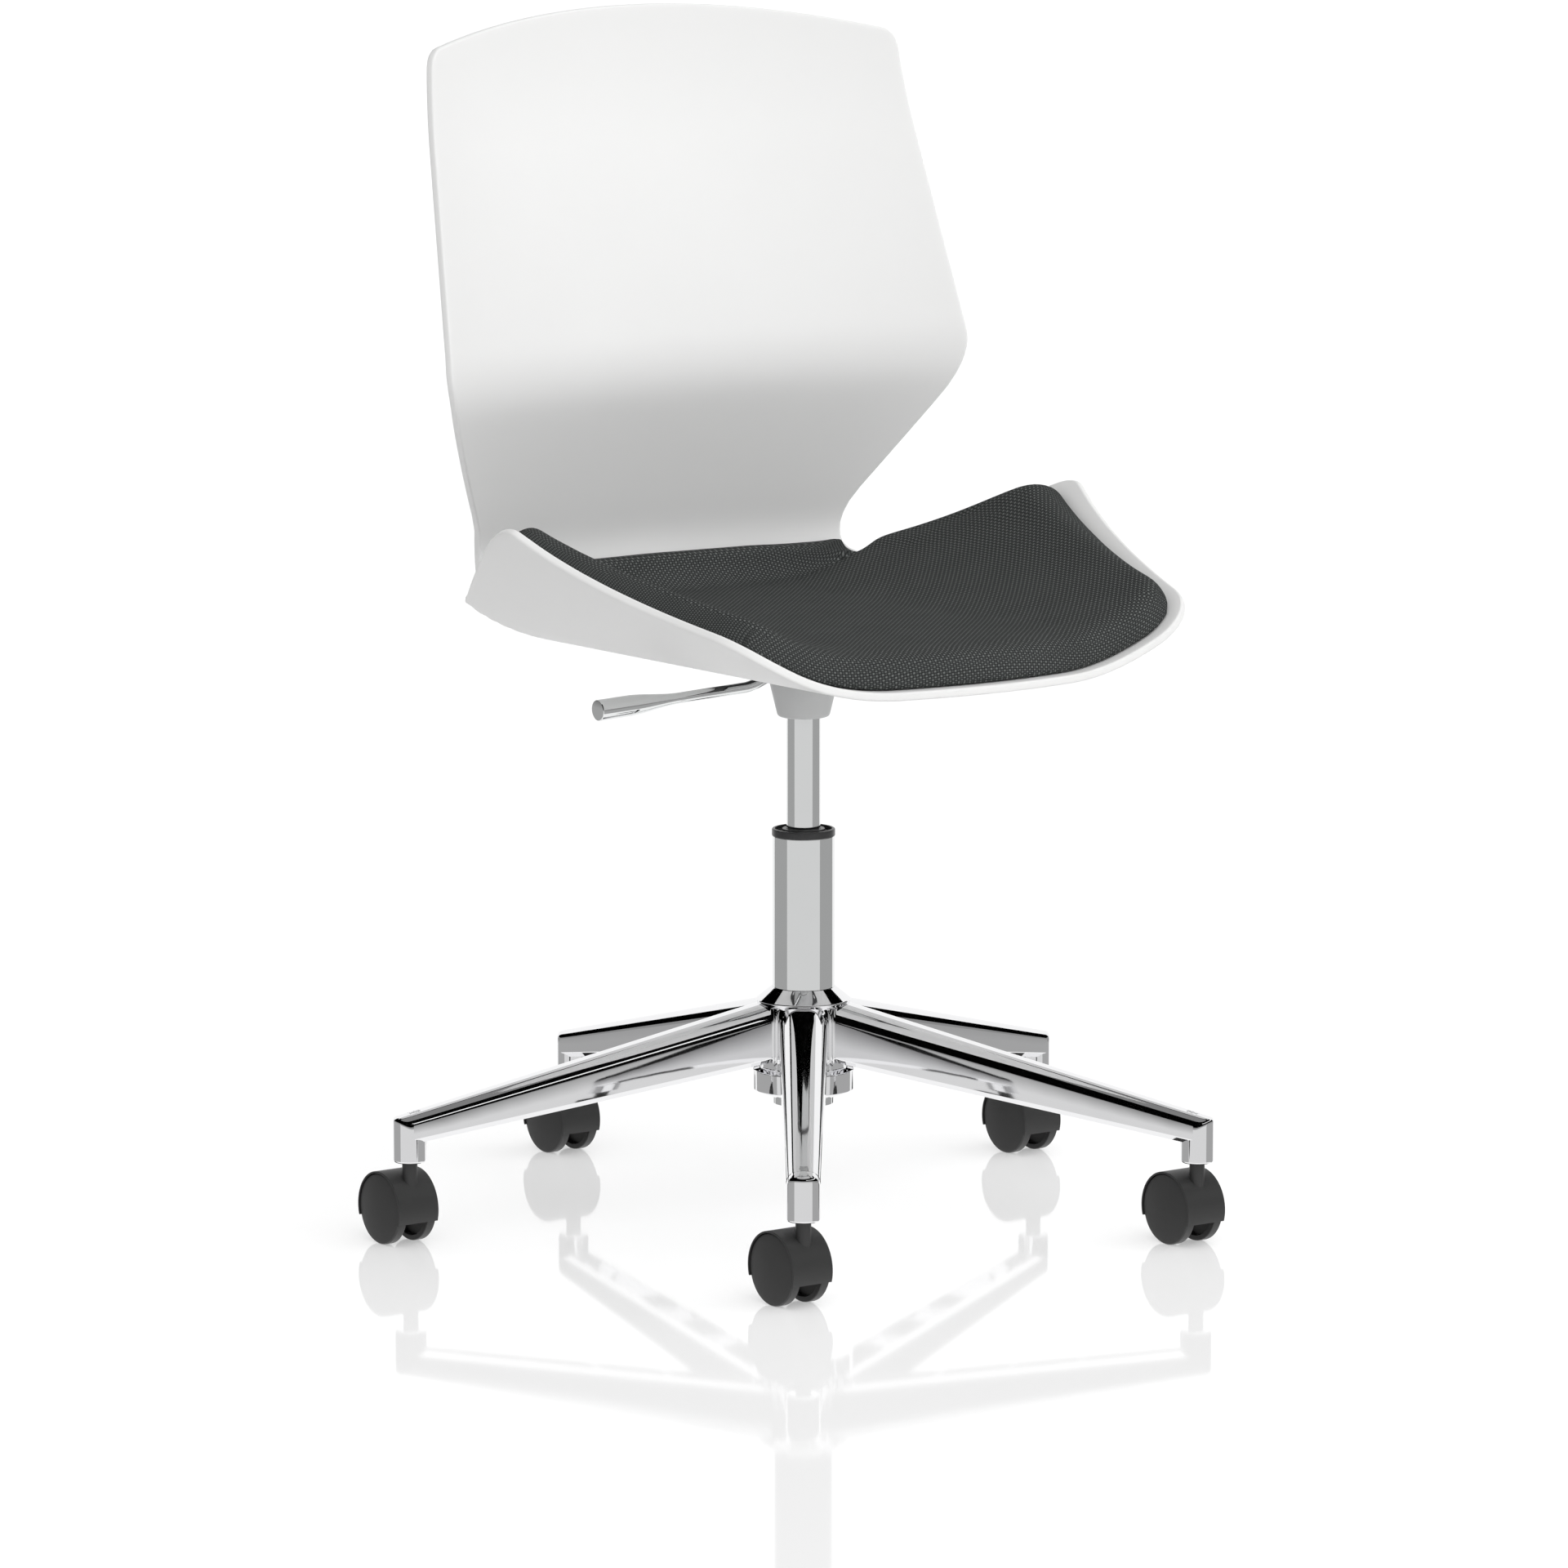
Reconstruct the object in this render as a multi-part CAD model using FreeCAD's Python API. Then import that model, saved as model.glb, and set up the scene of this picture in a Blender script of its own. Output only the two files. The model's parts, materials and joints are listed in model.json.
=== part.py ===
import FreeCAD, Part
import math
import os

# Swivel chair with a moulded shell, seat pad, gas lift, five-star base and twin-wheel castors.
# Millimetres and degrees. The floor is Z = 0, the column stands on the Z axis, the front is -Y
# and the sitter's right is -X. Heights build on each other from the floor upwards.

V = FreeCAD.Vector
UP = V(0, 0, 1)
ACROSS = V(1, 0, 0)

# Fits
RUNNING_GAP = 0.04        # radial, where one part turns or slides on another
REST_GAP = 0.3            # between neighbours that carry no fit
THRUST_GAP = 0.15         # along the axis, in the thrust bearing

# Castors
WHEEL_RADIUS = 29.0
WHEEL_WIDTH = 8.5
WHEEL_RIM = 3.2           # width of the flat ring round the domed face
WHEEL_DOME = 2.0
WHEEL_EDGE = 0.8
WHEEL_HUB_RADIUS = 9.0
WHEEL_RECESS = 4.5
TREAD_DEPTH = 4.5
HOOD_WALL = 1.6
HOOD_CORE = 20.0          # width of the hood between the two wheels
HOOD_SIDE = 2.6           # thickness of the hood's two inner cheeks
HOOD_LIP = 20.0           # height of the hood's cut edge above the floor
AXLE_DIA = 6.0
AXLE_BOSS_DIA = 11.0
AXLE_INSET = 1.6          # how far the axle stops short of the wheel's rim
STEM_DIA = 8.0
STEM_COLLAR_DIA = 12.4
STEM_TRAIL = 17.5         # from the stem back to the axle
CASTOR_HEIGHT = 69.0      # floor to the underside of the leg ends
SOCKET_DEPTH = 30.0
SLEEVE_WALL = 1.5

# Five-star base
LEG_COUNT = 5
STEM_CIRCLE = 335.0       # radius of the circle through the castor stems
POST_DIA = 27.0           # round socket at each leg end
LEG_TIP_TOP = 39.5        # above the socket's underside
LEG_TIP_UNDER = 15.0
LEG_TIP_STRIP = 4.0       # half width of the flat strip along the top
LEG_TIP_ROUND = 8.0
LEG_ROOT_TOP = 82.0       # above the hub's underside
LEG_ROOT_UNDER = 29.0
LEG_ROOT_HALF = 20.0
LEG_ROOT_STRIP = 4.0
LEG_ROOT_ROUND = 15.0
LEG_CHIN = 5.0            # bevel along the lower edges
LEG_WALL = 4.5
LEG_RIBS = 4
RIB_THICKNESS = 3.5
RIB_START = 50.0
HUB_LIFT = 37.0           # hub's underside above the leg ends' underside
HUB_HEIGHT = 89.0
HUB_RADIUS = 30.5
HUB_SHOULDER_RADIUS = 39.5
HUB_SHOULDER_DROP = 10.5
HUB_LIP = 1.0             # flat ring round the tube
COLLAR_RADIUS = 41.3
COLLAR_HEIGHT = 19.0
COLLAR_BEVEL = 4.0
COLLAR_BEVEL_WIDTH = 9.3

# Gas lift
TUBE_RADIUS = 25.5
TUBE_FOOT_RADIUS = 24.9   # lower end of the taper in the hub
TUBE_WALL = 2.0
TUBE_LENGTH = 222.0
TUBE_FOOT = 8.0           # length showing below the hub
TUBE_FLOOR_RECESS = 5.0
TUBE_FLOOR = 4.0
BUSH_LENGTH = 70.0
BUSH_RIM_HEIGHT = 6.0
BUSH_RIM_OVERHANG = 0.4
BUSH_GROOVE_DEPTH = 3.0
BUSH_GROOVE_WIDTH = 6.0
BUSH_GROOVE_INSET = 2.5
CYLINDER_RADIUS = 14.0
CYLINDER_WALL = 2.0
CYLINDER_SHOWING = 94.0   # between the bush and the cover, at the photographed height
CYLINDER_BELOW = 113.0    # hidden in the tube, below the bush's rim
CYLINDER_HEAD = 12.0
TAPER_LENGTH = 26.0
TAPER_DROP = 0.8          # loss of radius along the taper
TAPER_START = 6.0         # above the cover's lower edge
GLAND_LENGTH = 20.0
ROD_DIA = 10.0
ROD_NECK_DIA = 8.0
PISTON_LENGTH = 12.0
PISTON_BELOW_RIM = 8.0    # piston's underside below the bush's rim
ROD_TIP = 3.0
BEARING_RADIUS = 12.0
WASHER_THICKNESS = 2.0
BALL_DIA = 5.0
BALL_COUNT = 8
BALL_CIRCLE = 8.5
CAGE_HEIGHT = 2.0
BUMPER_HEIGHT = 9.0
CLIP_THICKNESS = 1.5
CLIP_RADIUS = 8.0
CLIP_SLOT = 5.0
CLIP_GROOVE = 0.8
BUTTON_DIA = 5.0
BUTTON_LENGTH = 14.0
BUTTON_SHOWING = 3.0

# Seat mechanism
MECHANISM_HEIGHT = 47.0   # cover's lower edge up to the shell's underside
PLATE_LENGTH = 140.0
PLATE_WIDTH = 160.0
PLATE_THICKNESS = 3.0
PLATE_CORNER = 14.0
BOLT_SPAN_X = 124.0
BOLT_SPAN_Y = 104.0
BOLT_DIA = 6.0
BOLT_HEAD_ACROSS = 10.0
BOLT_HEAD_HEIGHT = 4.0
INSERT_DIA = 9.0
INSERT_LENGTH = 6.5
SOCKET_RADIUS = 17.0
SOCKET_START = 3.0        # above the cover's lower edge
COVER_FOOT_RADIUS = 19.5
COVER_FOOT_BEVEL = 1.5
COVER_NECK_RADIUS = 26.0
COVER_NECK_HEIGHT = 26.0
COVER_RIM_RADIUS = 70.0
COVER_WALL = 2.0
COVER_LIP = 0.5           # upright edge of the cover's rim beyond its wall
COVER_RIM_GAP = 0.2

# Release lever, on the sitter's right
LEVER_REACH = 204.0
LEVER_GRIP_RADIUS = 8.6
LEVER_GRIP_LENGTH = 28.0
LEVER_FLARE_LENGTH = 52.0
LEVER_NECK_RADIUS = 4.5
LEVER_BEND = 52.0         # distance of the root bend from the column
LEVER_BEND_DROP = 10.5    # neck at the bend below the pivot
LEVER_DROOP = 6.5         # tip below the bend
LEVER_TONGUE_END = 2.6
LEVER_TONGUE_WIDTH = 10.0
LEVER_TONGUE_HEIGHT = 4.0
LEVER_SLOT_SIDE = 1.5
PIVOT_OUT = 28.0
PIVOT_DIA = 4.0
PIVOT_BOSS_RADIUS = 4.2
EAR_THICKNESS = 2.5
EAR_LENGTH = 13.0

# Moulded shell, drawn as a centre profile and a trough across it
SHELL_THICKNESS = 7.0
SEAT_REAR = 167.0         # end of the flat seat, where the bend starts
SEAT_FRONT = 258.0        # front edge ahead of the column
BEND_RADIUS = 60.0
BEND_TURN = 110.8
LOWER_BACK = 112.0
LUMBAR_RADIUS = 95.0
LUMBAR_TURN = 34.8
UPPER_BACK = 167.0
CREST_RADIUS = 433.0
CREST_TURN = 19.0
SEAT_FLAT = 84.0          # half width of the flat seat
WING_HALF = 276.0
WING_RISE = 110.0
BACK_RADIUS = 640.0       # curve across the back
GRID_STEP = 17.0
GRID_MARGIN = 12.0

# Shell outline on a plane tilted 45 degrees, half width and distance up that plane from the seat's centre
FRONT_SLOPE = 0.30
FRONT_ROUND = 560.0
FRONT_CORNER_HALF = 217.0
FRONT_CORNER_ROUND = 78.0
WING_TIP_HALF = 288.0
WING_TIP_UP = 103.0
WING_TIP_ROUND = 32.0
WAIST_HALF = 181.0
WAIST_LOW_UP = 142.0
WAIST_HIGH_UP = 196.0
WAIST_ROUND = 28.0
LUMBAR_HALF = 262.0
LUMBAR_UP = 233.0
LUMBAR_ROUND = 28.0
TOP_HALF = 233.0
TOP_CORNER_UP = 476.0
TOP_CORNER_ROUND = 20.0
TOP_SLOPE = 0.41
TOP_ROUND = 555.0

# Seat pad
PAD_INSET = 5.0           # from the shell's edge
PAD_HEIGHT = 27.0
PAD_EDGE_HEIGHT = 16.0    # at the front and rear ends
PAD_SIDE_SHARE = 0.92     # height along the wings against the middle
PAD_FLAT_SHARE = 0.8      # most of a short section that stays flat
PAD_DRAW_IN = 3.0
PAD_ROLL = 20.0           # length over which the ends roll down
PAD_ROLL_SHARES = (0, 0.12, 0.4, 1.0)
PAD_STEPS = 14            # sections between the rolled ends
PAD_REAR_TURN = 76.0      # how far up the bend the pad goes
PAD_END_TRIM = 4.5
BOARD_INSET = 34.0
BOARD_THICKNESS = 3.0
BOARD_POCKET = 5.0
PAD_SCREW_DIA = 4.5
PAD_SCREW_HEAD_DIA = 9.0
PAD_SCREW_HEAD = 2.5
PAD_SCREW_SHORT = 0.5     # screw's end below the board's top
PAD_SCREW_SPAN_X = 150.0
PAD_SCREW_FRONT = 170.0
PAD_SCREW_REAR = 110.0

# Heights that follow from the sizes above
HUB_BOTTOM = CASTOR_HEIGHT + HUB_LIFT
HUB_TOP = HUB_BOTTOM + HUB_HEIGHT
TUBE_BOTTOM = HUB_BOTTOM - TUBE_FOOT
TUBE_TOP = TUBE_BOTTOM + TUBE_LENGTH
BUSH_TOP = TUBE_TOP + BUSH_RIM_HEIGHT
COVER_BOTTOM = BUSH_TOP + CYLINDER_SHOWING
SHELL_BOTTOM = COVER_BOTTOM + MECHANISM_HEIGHT
SEAT_FACE = SHELL_BOTTOM + SHELL_THICKNESS
PLATE_TOP = SHELL_BOTTOM - COVER_RIM_GAP
PLATE_BOTTOM = PLATE_TOP - PLATE_THICKNESS
TAPER_BOTTOM = COVER_BOTTOM + TAPER_START
CYLINDER_TOP = TAPER_BOTTOM + TAPER_LENGTH
CYLINDER_BOTTOM = BUSH_TOP - CYLINDER_BELOW
FLOOR_BOTTOM = TUBE_BOTTOM + TUBE_FLOOR_RECESS
FLOOR_TOP = FLOOR_BOTTOM + TUBE_FLOOR
BALL_MIDDLE = FLOOR_TOP + WASHER_THICKNESS + BALL_DIA / 2
ROD_SHOULDER = FLOOR_TOP + 2 * WASHER_THICKNESS + BALL_DIA + THRUST_GAP
PISTON_BOTTOM = BUSH_TOP - PISTON_BELOW_RIM
BUTTON_TOP = CYLINDER_TOP + BUTTON_SHOWING
PIVOT_HEIGHT = BUTTON_TOP + REST_GAP + LEVER_TONGUE_HEIGHT / 2

os.makedirs("parts", exist_ok=True)


def save(name, solids):
    """Write one node: a single solid, or several that share the node."""
    group = solids if isinstance(solids, list) else [solids]
    for solid in group:
        if not solid.isValid() or solid.Volume <= 0 or len(solid.Solids) != 1:
            raise RuntimeError(name + " is not one sound solid")
    shape = group[0] if len(group) == 1 else Part.makeCompound(group)
    shape.exportStep("parts/" + name + ".step")


def only_solid(shape):
    """The single solid inside a boolean result, with its split faces joined."""
    return shape.removeSplitter().Solids[0]


def ring(bottom, top, outer, inner):
    """Upright tube on the column's axis."""
    body = Part.makeCylinder(outer, top - bottom, V(0, 0, bottom))
    return body.cut(Part.makeCylinder(inner, top - bottom, V(0, 0, bottom)))


def arc(start, middle, end):
    return Part.Arc(start, middle, end).toShape()


def line(start, end):
    return Part.LineSegment(start, end).toShape()


def tangent_arc(start, direction, end):
    """Arc that leaves its start along a direction and runs to its end."""
    chord = end - start
    along = V(chord).normalize()
    aside = (direction - along * direction.dot(along)).normalize()
    bow = chord.Length / 2 * math.tan(direction.getAngle(chord) / 2)
    return arc(start, (start + end) * 0.5 + aside * bow, end)


def polygon(points):
    return Part.makePolygon(points + [points[0]])


def turned(points, axis_point, axis):
    """Solid of revolution of a closed profile given as points."""
    return Part.Face(polygon(points)).revolve(axis_point, axis, 360)


def rounded_outline(corners):
    """Closed wire through corners (x, y, radius): straight runs joined by tangent arcs."""
    count = len(corners)
    bends = []
    for index, (x, y, radius) in enumerate(corners):
        corner = V(x, y, 0)
        last = corners[index - 1]
        following = corners[(index + 1) % count]
        back = (V(last[0], last[1], 0) - corner).normalize()
        ahead = (V(following[0], following[1], 0) - corner).normalize()
        half_angle = back.getAngle(ahead) / 2
        reach = radius / math.tan(half_angle)
        inward = (back + ahead).normalize()
        centre = corner + inward * (radius / math.sin(half_angle))
        bends.append((corner + back * reach, centre - inward * radius, corner + ahead * reach))
    edges = []
    for index, (start, middle, end) in enumerate(bends):
        edges.append(arc(start, middle, end))
        edges.append(line(end, bends[(index + 1) % count][0]))
    return Part.Wire(edges)


# Castors, modelled with the stem on the Z axis and the axle along X
WHEEL_IN = HOOD_CORE / 2 + REST_GAP
WHEEL_OUT = WHEEL_IN + WHEEL_WIDTH
HOOD_BORE = WHEEL_RADIUS + REST_GAP
HOOD_RADIUS = HOOD_BORE + HOOD_WALL
HOOD_HALF = WHEEL_OUT + REST_GAP
AXLE_HALF = WHEEL_OUT - AXLE_INSET
AXLE_POINT = V(0, STEM_TRAIL, WHEEL_RADIUS)
STEM_TOP = CASTOR_HEIGHT + SOCKET_DEPTH - REST_GAP


def drum(radius, start, end):
    """Cylinder on the axle's line between two distances from the castor's middle."""
    return Part.makeCylinder(radius, end - start, AXLE_POINT + ACROSS * start, ACROSS)


def castor_hood():
    """Shroud over both wheels, open below, with the stem's collar."""
    body = drum(HOOD_RADIUS, -HOOD_HALF, HOOD_HALF)
    reach = 2 * HOOD_RADIUS
    below = Part.makeBox(2 * reach, 2 * reach, reach, V(-reach, STEM_TRAIL - reach, HOOD_LIP - reach))
    for side in (-1, 1):
        body = body.cut(drum(HOOD_BORE, *sorted((side * HOOD_CORE / 2, side * HOOD_HALF))))
    collar = Part.makeCylinder(STEM_COLLAR_DIA / 2, CASTOR_HEIGHT - REST_GAP - HOOD_LIP, V(0, 0, HOOD_LIP))
    boss = drum(AXLE_BOSS_DIA / 2, -HOOD_CORE / 2, HOOD_CORE / 2)
    cavity = drum(HOOD_BORE, -HOOD_CORE / 2 + HOOD_SIDE, HOOD_CORE / 2 - HOOD_SIDE)
    cavity = cavity.cut(boss).cut(collar)
    body = body.cut(cavity).fuse(collar).cut(below)
    body = body.cut(drum(AXLE_DIA / 2, -HOOD_HALF, HOOD_HALF))
    return only_solid(body.cut(castor_stem()))


def castor_stem():
    """Steel pin, pressed into the collar and turning in the leg's sleeve."""
    return Part.makeCylinder(STEM_DIA / 2, STEM_TOP - WHEEL_RADIUS, V(0, 0, WHEEL_RADIUS))


def castor_axle():
    return drum(AXLE_DIA / 2, -AXLE_HALF, AXLE_HALF)


def castor_wheel(side):
    """Wheel with a tread ring, a hollow inner side and a domed outer face."""
    bore = AXLE_DIA / 2 + RUNNING_GAP
    tread = WHEEL_RADIUS - TREAD_DEPTH
    dome_radius = WHEEL_RADIUS - WHEEL_RIM
    bore_end = AXLE_HALF + REST_GAP

    def at(out, radius):
        return AXLE_POINT + V(side * out, 0, radius)

    corners = [at(WHEEL_OUT + WHEEL_DOME, 0), at(bore_end, 0), at(bore_end, bore), at(WHEEL_IN, bore),
               at(WHEEL_IN, WHEEL_HUB_RADIUS), at(WHEEL_IN + WHEEL_RECESS, WHEEL_HUB_RADIUS),
               at(WHEEL_IN + WHEEL_RECESS, tread), at(WHEEL_IN, tread),
               at(WHEEL_IN, WHEEL_RADIUS - WHEEL_EDGE), at(WHEEL_IN + WHEEL_EDGE, WHEEL_RADIUS),
               at(WHEEL_OUT - WHEEL_EDGE, WHEEL_RADIUS), at(WHEEL_OUT, WHEEL_RADIUS - WHEEL_EDGE),
               at(WHEEL_OUT, dome_radius)]
    dome = tangent_arc(corners[0], UP, corners[-1])
    profile = Part.Wire([line(a, b) for a, b in zip(corners, corners[1:])] + [dome])
    return Part.Face(profile).revolve(AXLE_POINT, ACROSS, 360).Solids[0]


def leg_angle(number):
    """Direction of a leg: the first points straight back."""
    return 90 + number * 360 / LEG_COUNT


def at_leg_end(shape, number):
    placed = shape.copy()
    angle = math.radians(leg_angle(number))
    placed.translate(V(STEM_CIRCLE * math.cos(angle), STEM_CIRCLE * math.sin(angle), 0))
    return placed


for number in range(LEG_COUNT):
    castor = "castor_" + str(number + 1) + "_"
    save(castor + "hood", at_leg_end(castor_hood(), number))
    save(castor + "stem", at_leg_end(castor_stem(), number))
    save(castor + "axle", at_leg_end(castor_axle(), number))
    save(castor + "wheel_right", at_leg_end(castor_wheel(-1), number))
    save(castor + "wheel_left", at_leg_end(castor_wheel(1), number))


# Five-star base, one casting
SLEEVE_BORE = STEM_DIA / 2 + RUNNING_GAP
SLEEVE_RADIUS = SLEEVE_BORE + SLEEVE_WALL


def leg_sizes(radius):
    """Half width, strip, rounding, top and underside of the leg at a distance from the hub's axis."""
    share = (radius - HUB_RADIUS) / (STEM_CIRCLE - HUB_RADIUS)
    root = (LEG_ROOT_HALF, LEG_ROOT_STRIP, LEG_ROOT_ROUND,
            HUB_BOTTOM + LEG_ROOT_TOP, HUB_BOTTOM + LEG_ROOT_UNDER)
    tip = (POST_DIA / 2, LEG_TIP_STRIP, LEG_TIP_ROUND,
           CASTOR_HEIGHT + LEG_TIP_TOP, CASTOR_HEIGHT + LEG_TIP_UNDER)
    return [a + (b - a) * share for a, b in zip(root, tip)]


def leg_section(radius, under=None):
    """Leg section: flat strip on top, rounded shoulders, upright sides, bevelled lower edges."""
    half, strip, drop, top, bottom = leg_sizes(radius)
    bevel = LEG_CHIN if under is None else 0
    bottom = bottom if under is None else under
    points = [V(radius, strip, top), V(radius, half, top - drop), V(radius, half, bottom + bevel),
              V(radius, half - bevel, bottom)]
    mirrored = [V(p.x, -p.y, p.z) for p in points]
    edges = [tangent_arc(points[0], V(0, 1, 0), points[1]), line(points[1], points[2])]
    if bevel:
        edges.append(line(points[2], points[3]))
    edges.append(line(points[3], mirrored[3]))
    if bevel:
        edges.append(line(mirrored[3], mirrored[2]))
    edges += [line(mirrored[2], mirrored[1]), tangent_arc(mirrored[0], V(0, -1, 0), mirrored[1]),
              line(mirrored[0], points[0])]
    return Part.Wire(edges)


def pocket_section(radius):
    """Hollow of the leg at one place, open below."""
    half, strip, drop, top, bottom = leg_sizes(radius)
    wide = half - LEG_WALL
    roof = top - LEG_WALL
    points = [V(radius, strip, roof), V(radius, wide, roof - drop), V(radius, wide, bottom - LEG_CHIN)]
    return polygon(points + [V(p.x, -p.y, p.z) for p in reversed(points)])


def star_leg():
    """One leg along +X with its round castor post, ribbed hollow and stem bore."""
    inner = (TUBE_RADIUS + HUB_RADIUS) / 2
    beam = Part.makeLoft([leg_section(inner), leg_section(STEM_CIRCLE)], True, True)
    past = STEM_CIRCLE + POST_DIA
    before = STEM_CIRCLE - POST_DIA
    under = CASTOR_HEIGHT - POST_DIA
    sky = Part.makeLoft([leg_section(before, under), leg_section(past, under)], True, True)
    post = Part.makeCylinder(POST_DIA / 2, HUB_TOP - CASTOR_HEIGHT, V(STEM_CIRCLE, 0, CASTOR_HEIGHT))
    leg = beam.fuse(post.common(sky))
    pocket_end = STEM_CIRCLE - POST_DIA / 2 - LEG_WALL
    pitch = (pocket_end - RIB_START) / LEG_RIBS
    for index in range(LEG_RIBS):
        start = RIB_START + index * pitch
        end = start + pitch - RIB_THICKNESS
        leg = leg.cut(Part.makeLoft([pocket_section(start), pocket_section(end)], True, True))
    socket = Part.makeCylinder(SLEEVE_RADIUS, SOCKET_DEPTH, V(STEM_CIRCLE, 0, CASTOR_HEIGHT))
    return leg.cut(socket)


def hub():
    """Hub with a conical shoulder over the legs and a collar under them."""
    shoulder = HUB_TOP - HUB_SHOULDER_DROP
    neck = HUB_SHOULDER_RADIUS - HUB_RADIUS
    collar_top = HUB_BOTTOM + COLLAR_HEIGHT
    flare = COLLAR_RADIUS - HUB_RADIUS
    upper = V(HUB_RADIUS, 0, shoulder - neck)
    lower = V(HUB_RADIUS, 0, collar_top + flare)
    rim = V(HUB_SHOULDER_RADIUS, 0, shoulder)
    wide = V(COLLAR_RADIUS, 0, collar_top)
    top_in = V(TUBE_RADIUS, 0, HUB_TOP)
    top_out = V(TUBE_RADIUS + HUB_LIP, 0, HUB_TOP)
    bevel_top = V(COLLAR_RADIUS, 0, HUB_BOTTOM + COLLAR_BEVEL)
    bevel_foot = V(COLLAR_RADIUS - COLLAR_BEVEL_WIDTH, 0, HUB_BOTTOM)
    foot_in = V(TUBE_FOOT_RADIUS, 0, HUB_BOTTOM)
    profile = Part.Wire([line(top_in, top_out), line(top_out, rim), tangent_arc(upper, UP, rim),
                         line(upper, lower), tangent_arc(lower, -UP, wide), line(wide, bevel_top),
                         line(bevel_top, bevel_foot), line(bevel_foot, foot_in), line(foot_in, top_in)])
    return Part.Face(profile).revolve(V(), UP, 360)


def tube_core():
    """Space that the column takes inside the hub."""
    return turned([V(0, 0, HUB_BOTTOM), V(TUBE_FOOT_RADIUS, 0, HUB_BOTTOM),
                   V(TUBE_RADIUS, 0, HUB_TOP), V(0, 0, HUB_TOP)], V(), UP).Solids[0]


def star_base():
    legs = []
    for number in range(LEG_COUNT):
        leg = star_leg()
        leg.rotate(V(), UP, leg_angle(number))
        legs.append(leg)
    return only_solid(hub().Solids[0].multiFuse(legs).cut(tube_core()))


save("star_base", star_base())
SLEEVE = ring(CASTOR_HEIGHT, CASTOR_HEIGHT + SOCKET_DEPTH, SLEEVE_RADIUS, SLEEVE_BORE)
save("stem_sleeves", [at_leg_end(SLEEVE, number) for number in range(LEG_COUNT)])


# Column fixed in the base
def column_tube():
    """Outer tube of the lift, tapered in the hub, with a floor near its lower end."""
    bore = TUBE_RADIUS - TUBE_WALL
    foot_bore = TUBE_FOOT_RADIUS - TUBE_WALL
    body = turned([V(foot_bore, 0, TUBE_BOTTOM), V(TUBE_FOOT_RADIUS, 0, TUBE_BOTTOM),
                   V(TUBE_FOOT_RADIUS, 0, HUB_BOTTOM), V(TUBE_RADIUS, 0, HUB_TOP),
                   V(TUBE_RADIUS, 0, TUBE_TOP), V(bore, 0, TUBE_TOP), V(bore, 0, HUB_TOP),
                   V(foot_bore, 0, HUB_BOTTOM)], V(), UP).Solids[0]
    floor = ring(FLOOR_BOTTOM, FLOOR_TOP, TUBE_FOOT_RADIUS - TUBE_WALL / 2, ROD_NECK_DIA / 2 + RUNNING_GAP)
    return only_solid(body.fuse(floor))


def guide_bush():
    """Plastic guide in the tube's mouth, with a rim that shows on top and a groove in it."""
    bore = CYLINDER_RADIUS + RUNNING_GAP
    rim = TUBE_RADIUS + BUSH_RIM_OVERHANG
    groove_out = rim - BUSH_GROOVE_INSET
    body = ring(TUBE_TOP - BUSH_LENGTH, TUBE_TOP, TUBE_RADIUS - TUBE_WALL, bore)
    body = body.fuse(ring(TUBE_TOP, BUSH_TOP, rim, bore))
    groove = ring(BUSH_TOP - BUSH_GROOVE_DEPTH, BUSH_TOP, groove_out, groove_out - BUSH_GROOVE_WIDTH)
    return only_solid(body.cut(groove))


def bearing_balls():
    balls = []
    for index in range(BALL_COUNT):
        angle = 2 * math.pi * index / BALL_COUNT
        centre = V(BALL_CIRCLE * math.cos(angle), BALL_CIRCLE * math.sin(angle), BALL_MIDDLE)
        balls.append(Part.makeSphere(BALL_DIA / 2, centre))
    return balls


def bearing_cage():
    """Flat ring with a pocket for each ball."""
    cage = ring(BALL_MIDDLE - CAGE_HEIGHT / 2, BALL_MIDDLE + CAGE_HEIGHT / 2,
                BEARING_RADIUS, ROD_NECK_DIA / 2 + RUNNING_GAP)
    for ball in bearing_balls():
        pocket = Part.makeSphere(BALL_DIA / 2 + RUNNING_GAP, ball.CenterOfMass)
        cage = cage.cut(pocket)
    return only_solid(cage)


NECK_BORE = ROD_NECK_DIA / 2 + RUNNING_GAP
save("column_tube", column_tube())
save("guide_bush", guide_bush())
save("bearing_lower_washer", ring(FLOOR_TOP, FLOOR_TOP + WASHER_THICKNESS, BEARING_RADIUS, NECK_BORE))
save("bearing_cage", bearing_cage())
save("bearing_balls", bearing_balls())


# Rod and piston, which turn with the seat on the thrust bearing
CLIP_TOP = FLOOR_BOTTOM - THRUST_GAP
CLIP_BOTTOM = CLIP_TOP - CLIP_THICKNESS
GROOVE_RADIUS = ROD_NECK_DIA / 2 - CLIP_GROOVE
ROD_BOTTOM = CLIP_BOTTOM - CLIP_THICKNESS


def piston_rod():
    """Rod with a shoulder on the bearing, a clip groove below and a piston seat on top."""
    half = ROD_DIA / 2
    neck = ROD_NECK_DIA / 2
    top = PISTON_BOTTOM + PISTON_LENGTH + ROD_TIP
    return turned([V(0, 0, ROD_BOTTOM), V(neck, 0, ROD_BOTTOM), V(neck, 0, CLIP_BOTTOM),
                   V(GROOVE_RADIUS, 0, CLIP_BOTTOM), V(GROOVE_RADIUS, 0, CLIP_TOP), V(neck, 0, CLIP_TOP),
                   V(neck, 0, ROD_SHOULDER), V(half, 0, ROD_SHOULDER), V(half, 0, PISTON_BOTTOM),
                   V(neck, 0, PISTON_BOTTOM), V(neck, 0, top), V(0, 0, top)], V(), UP).Solids[0]


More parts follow.
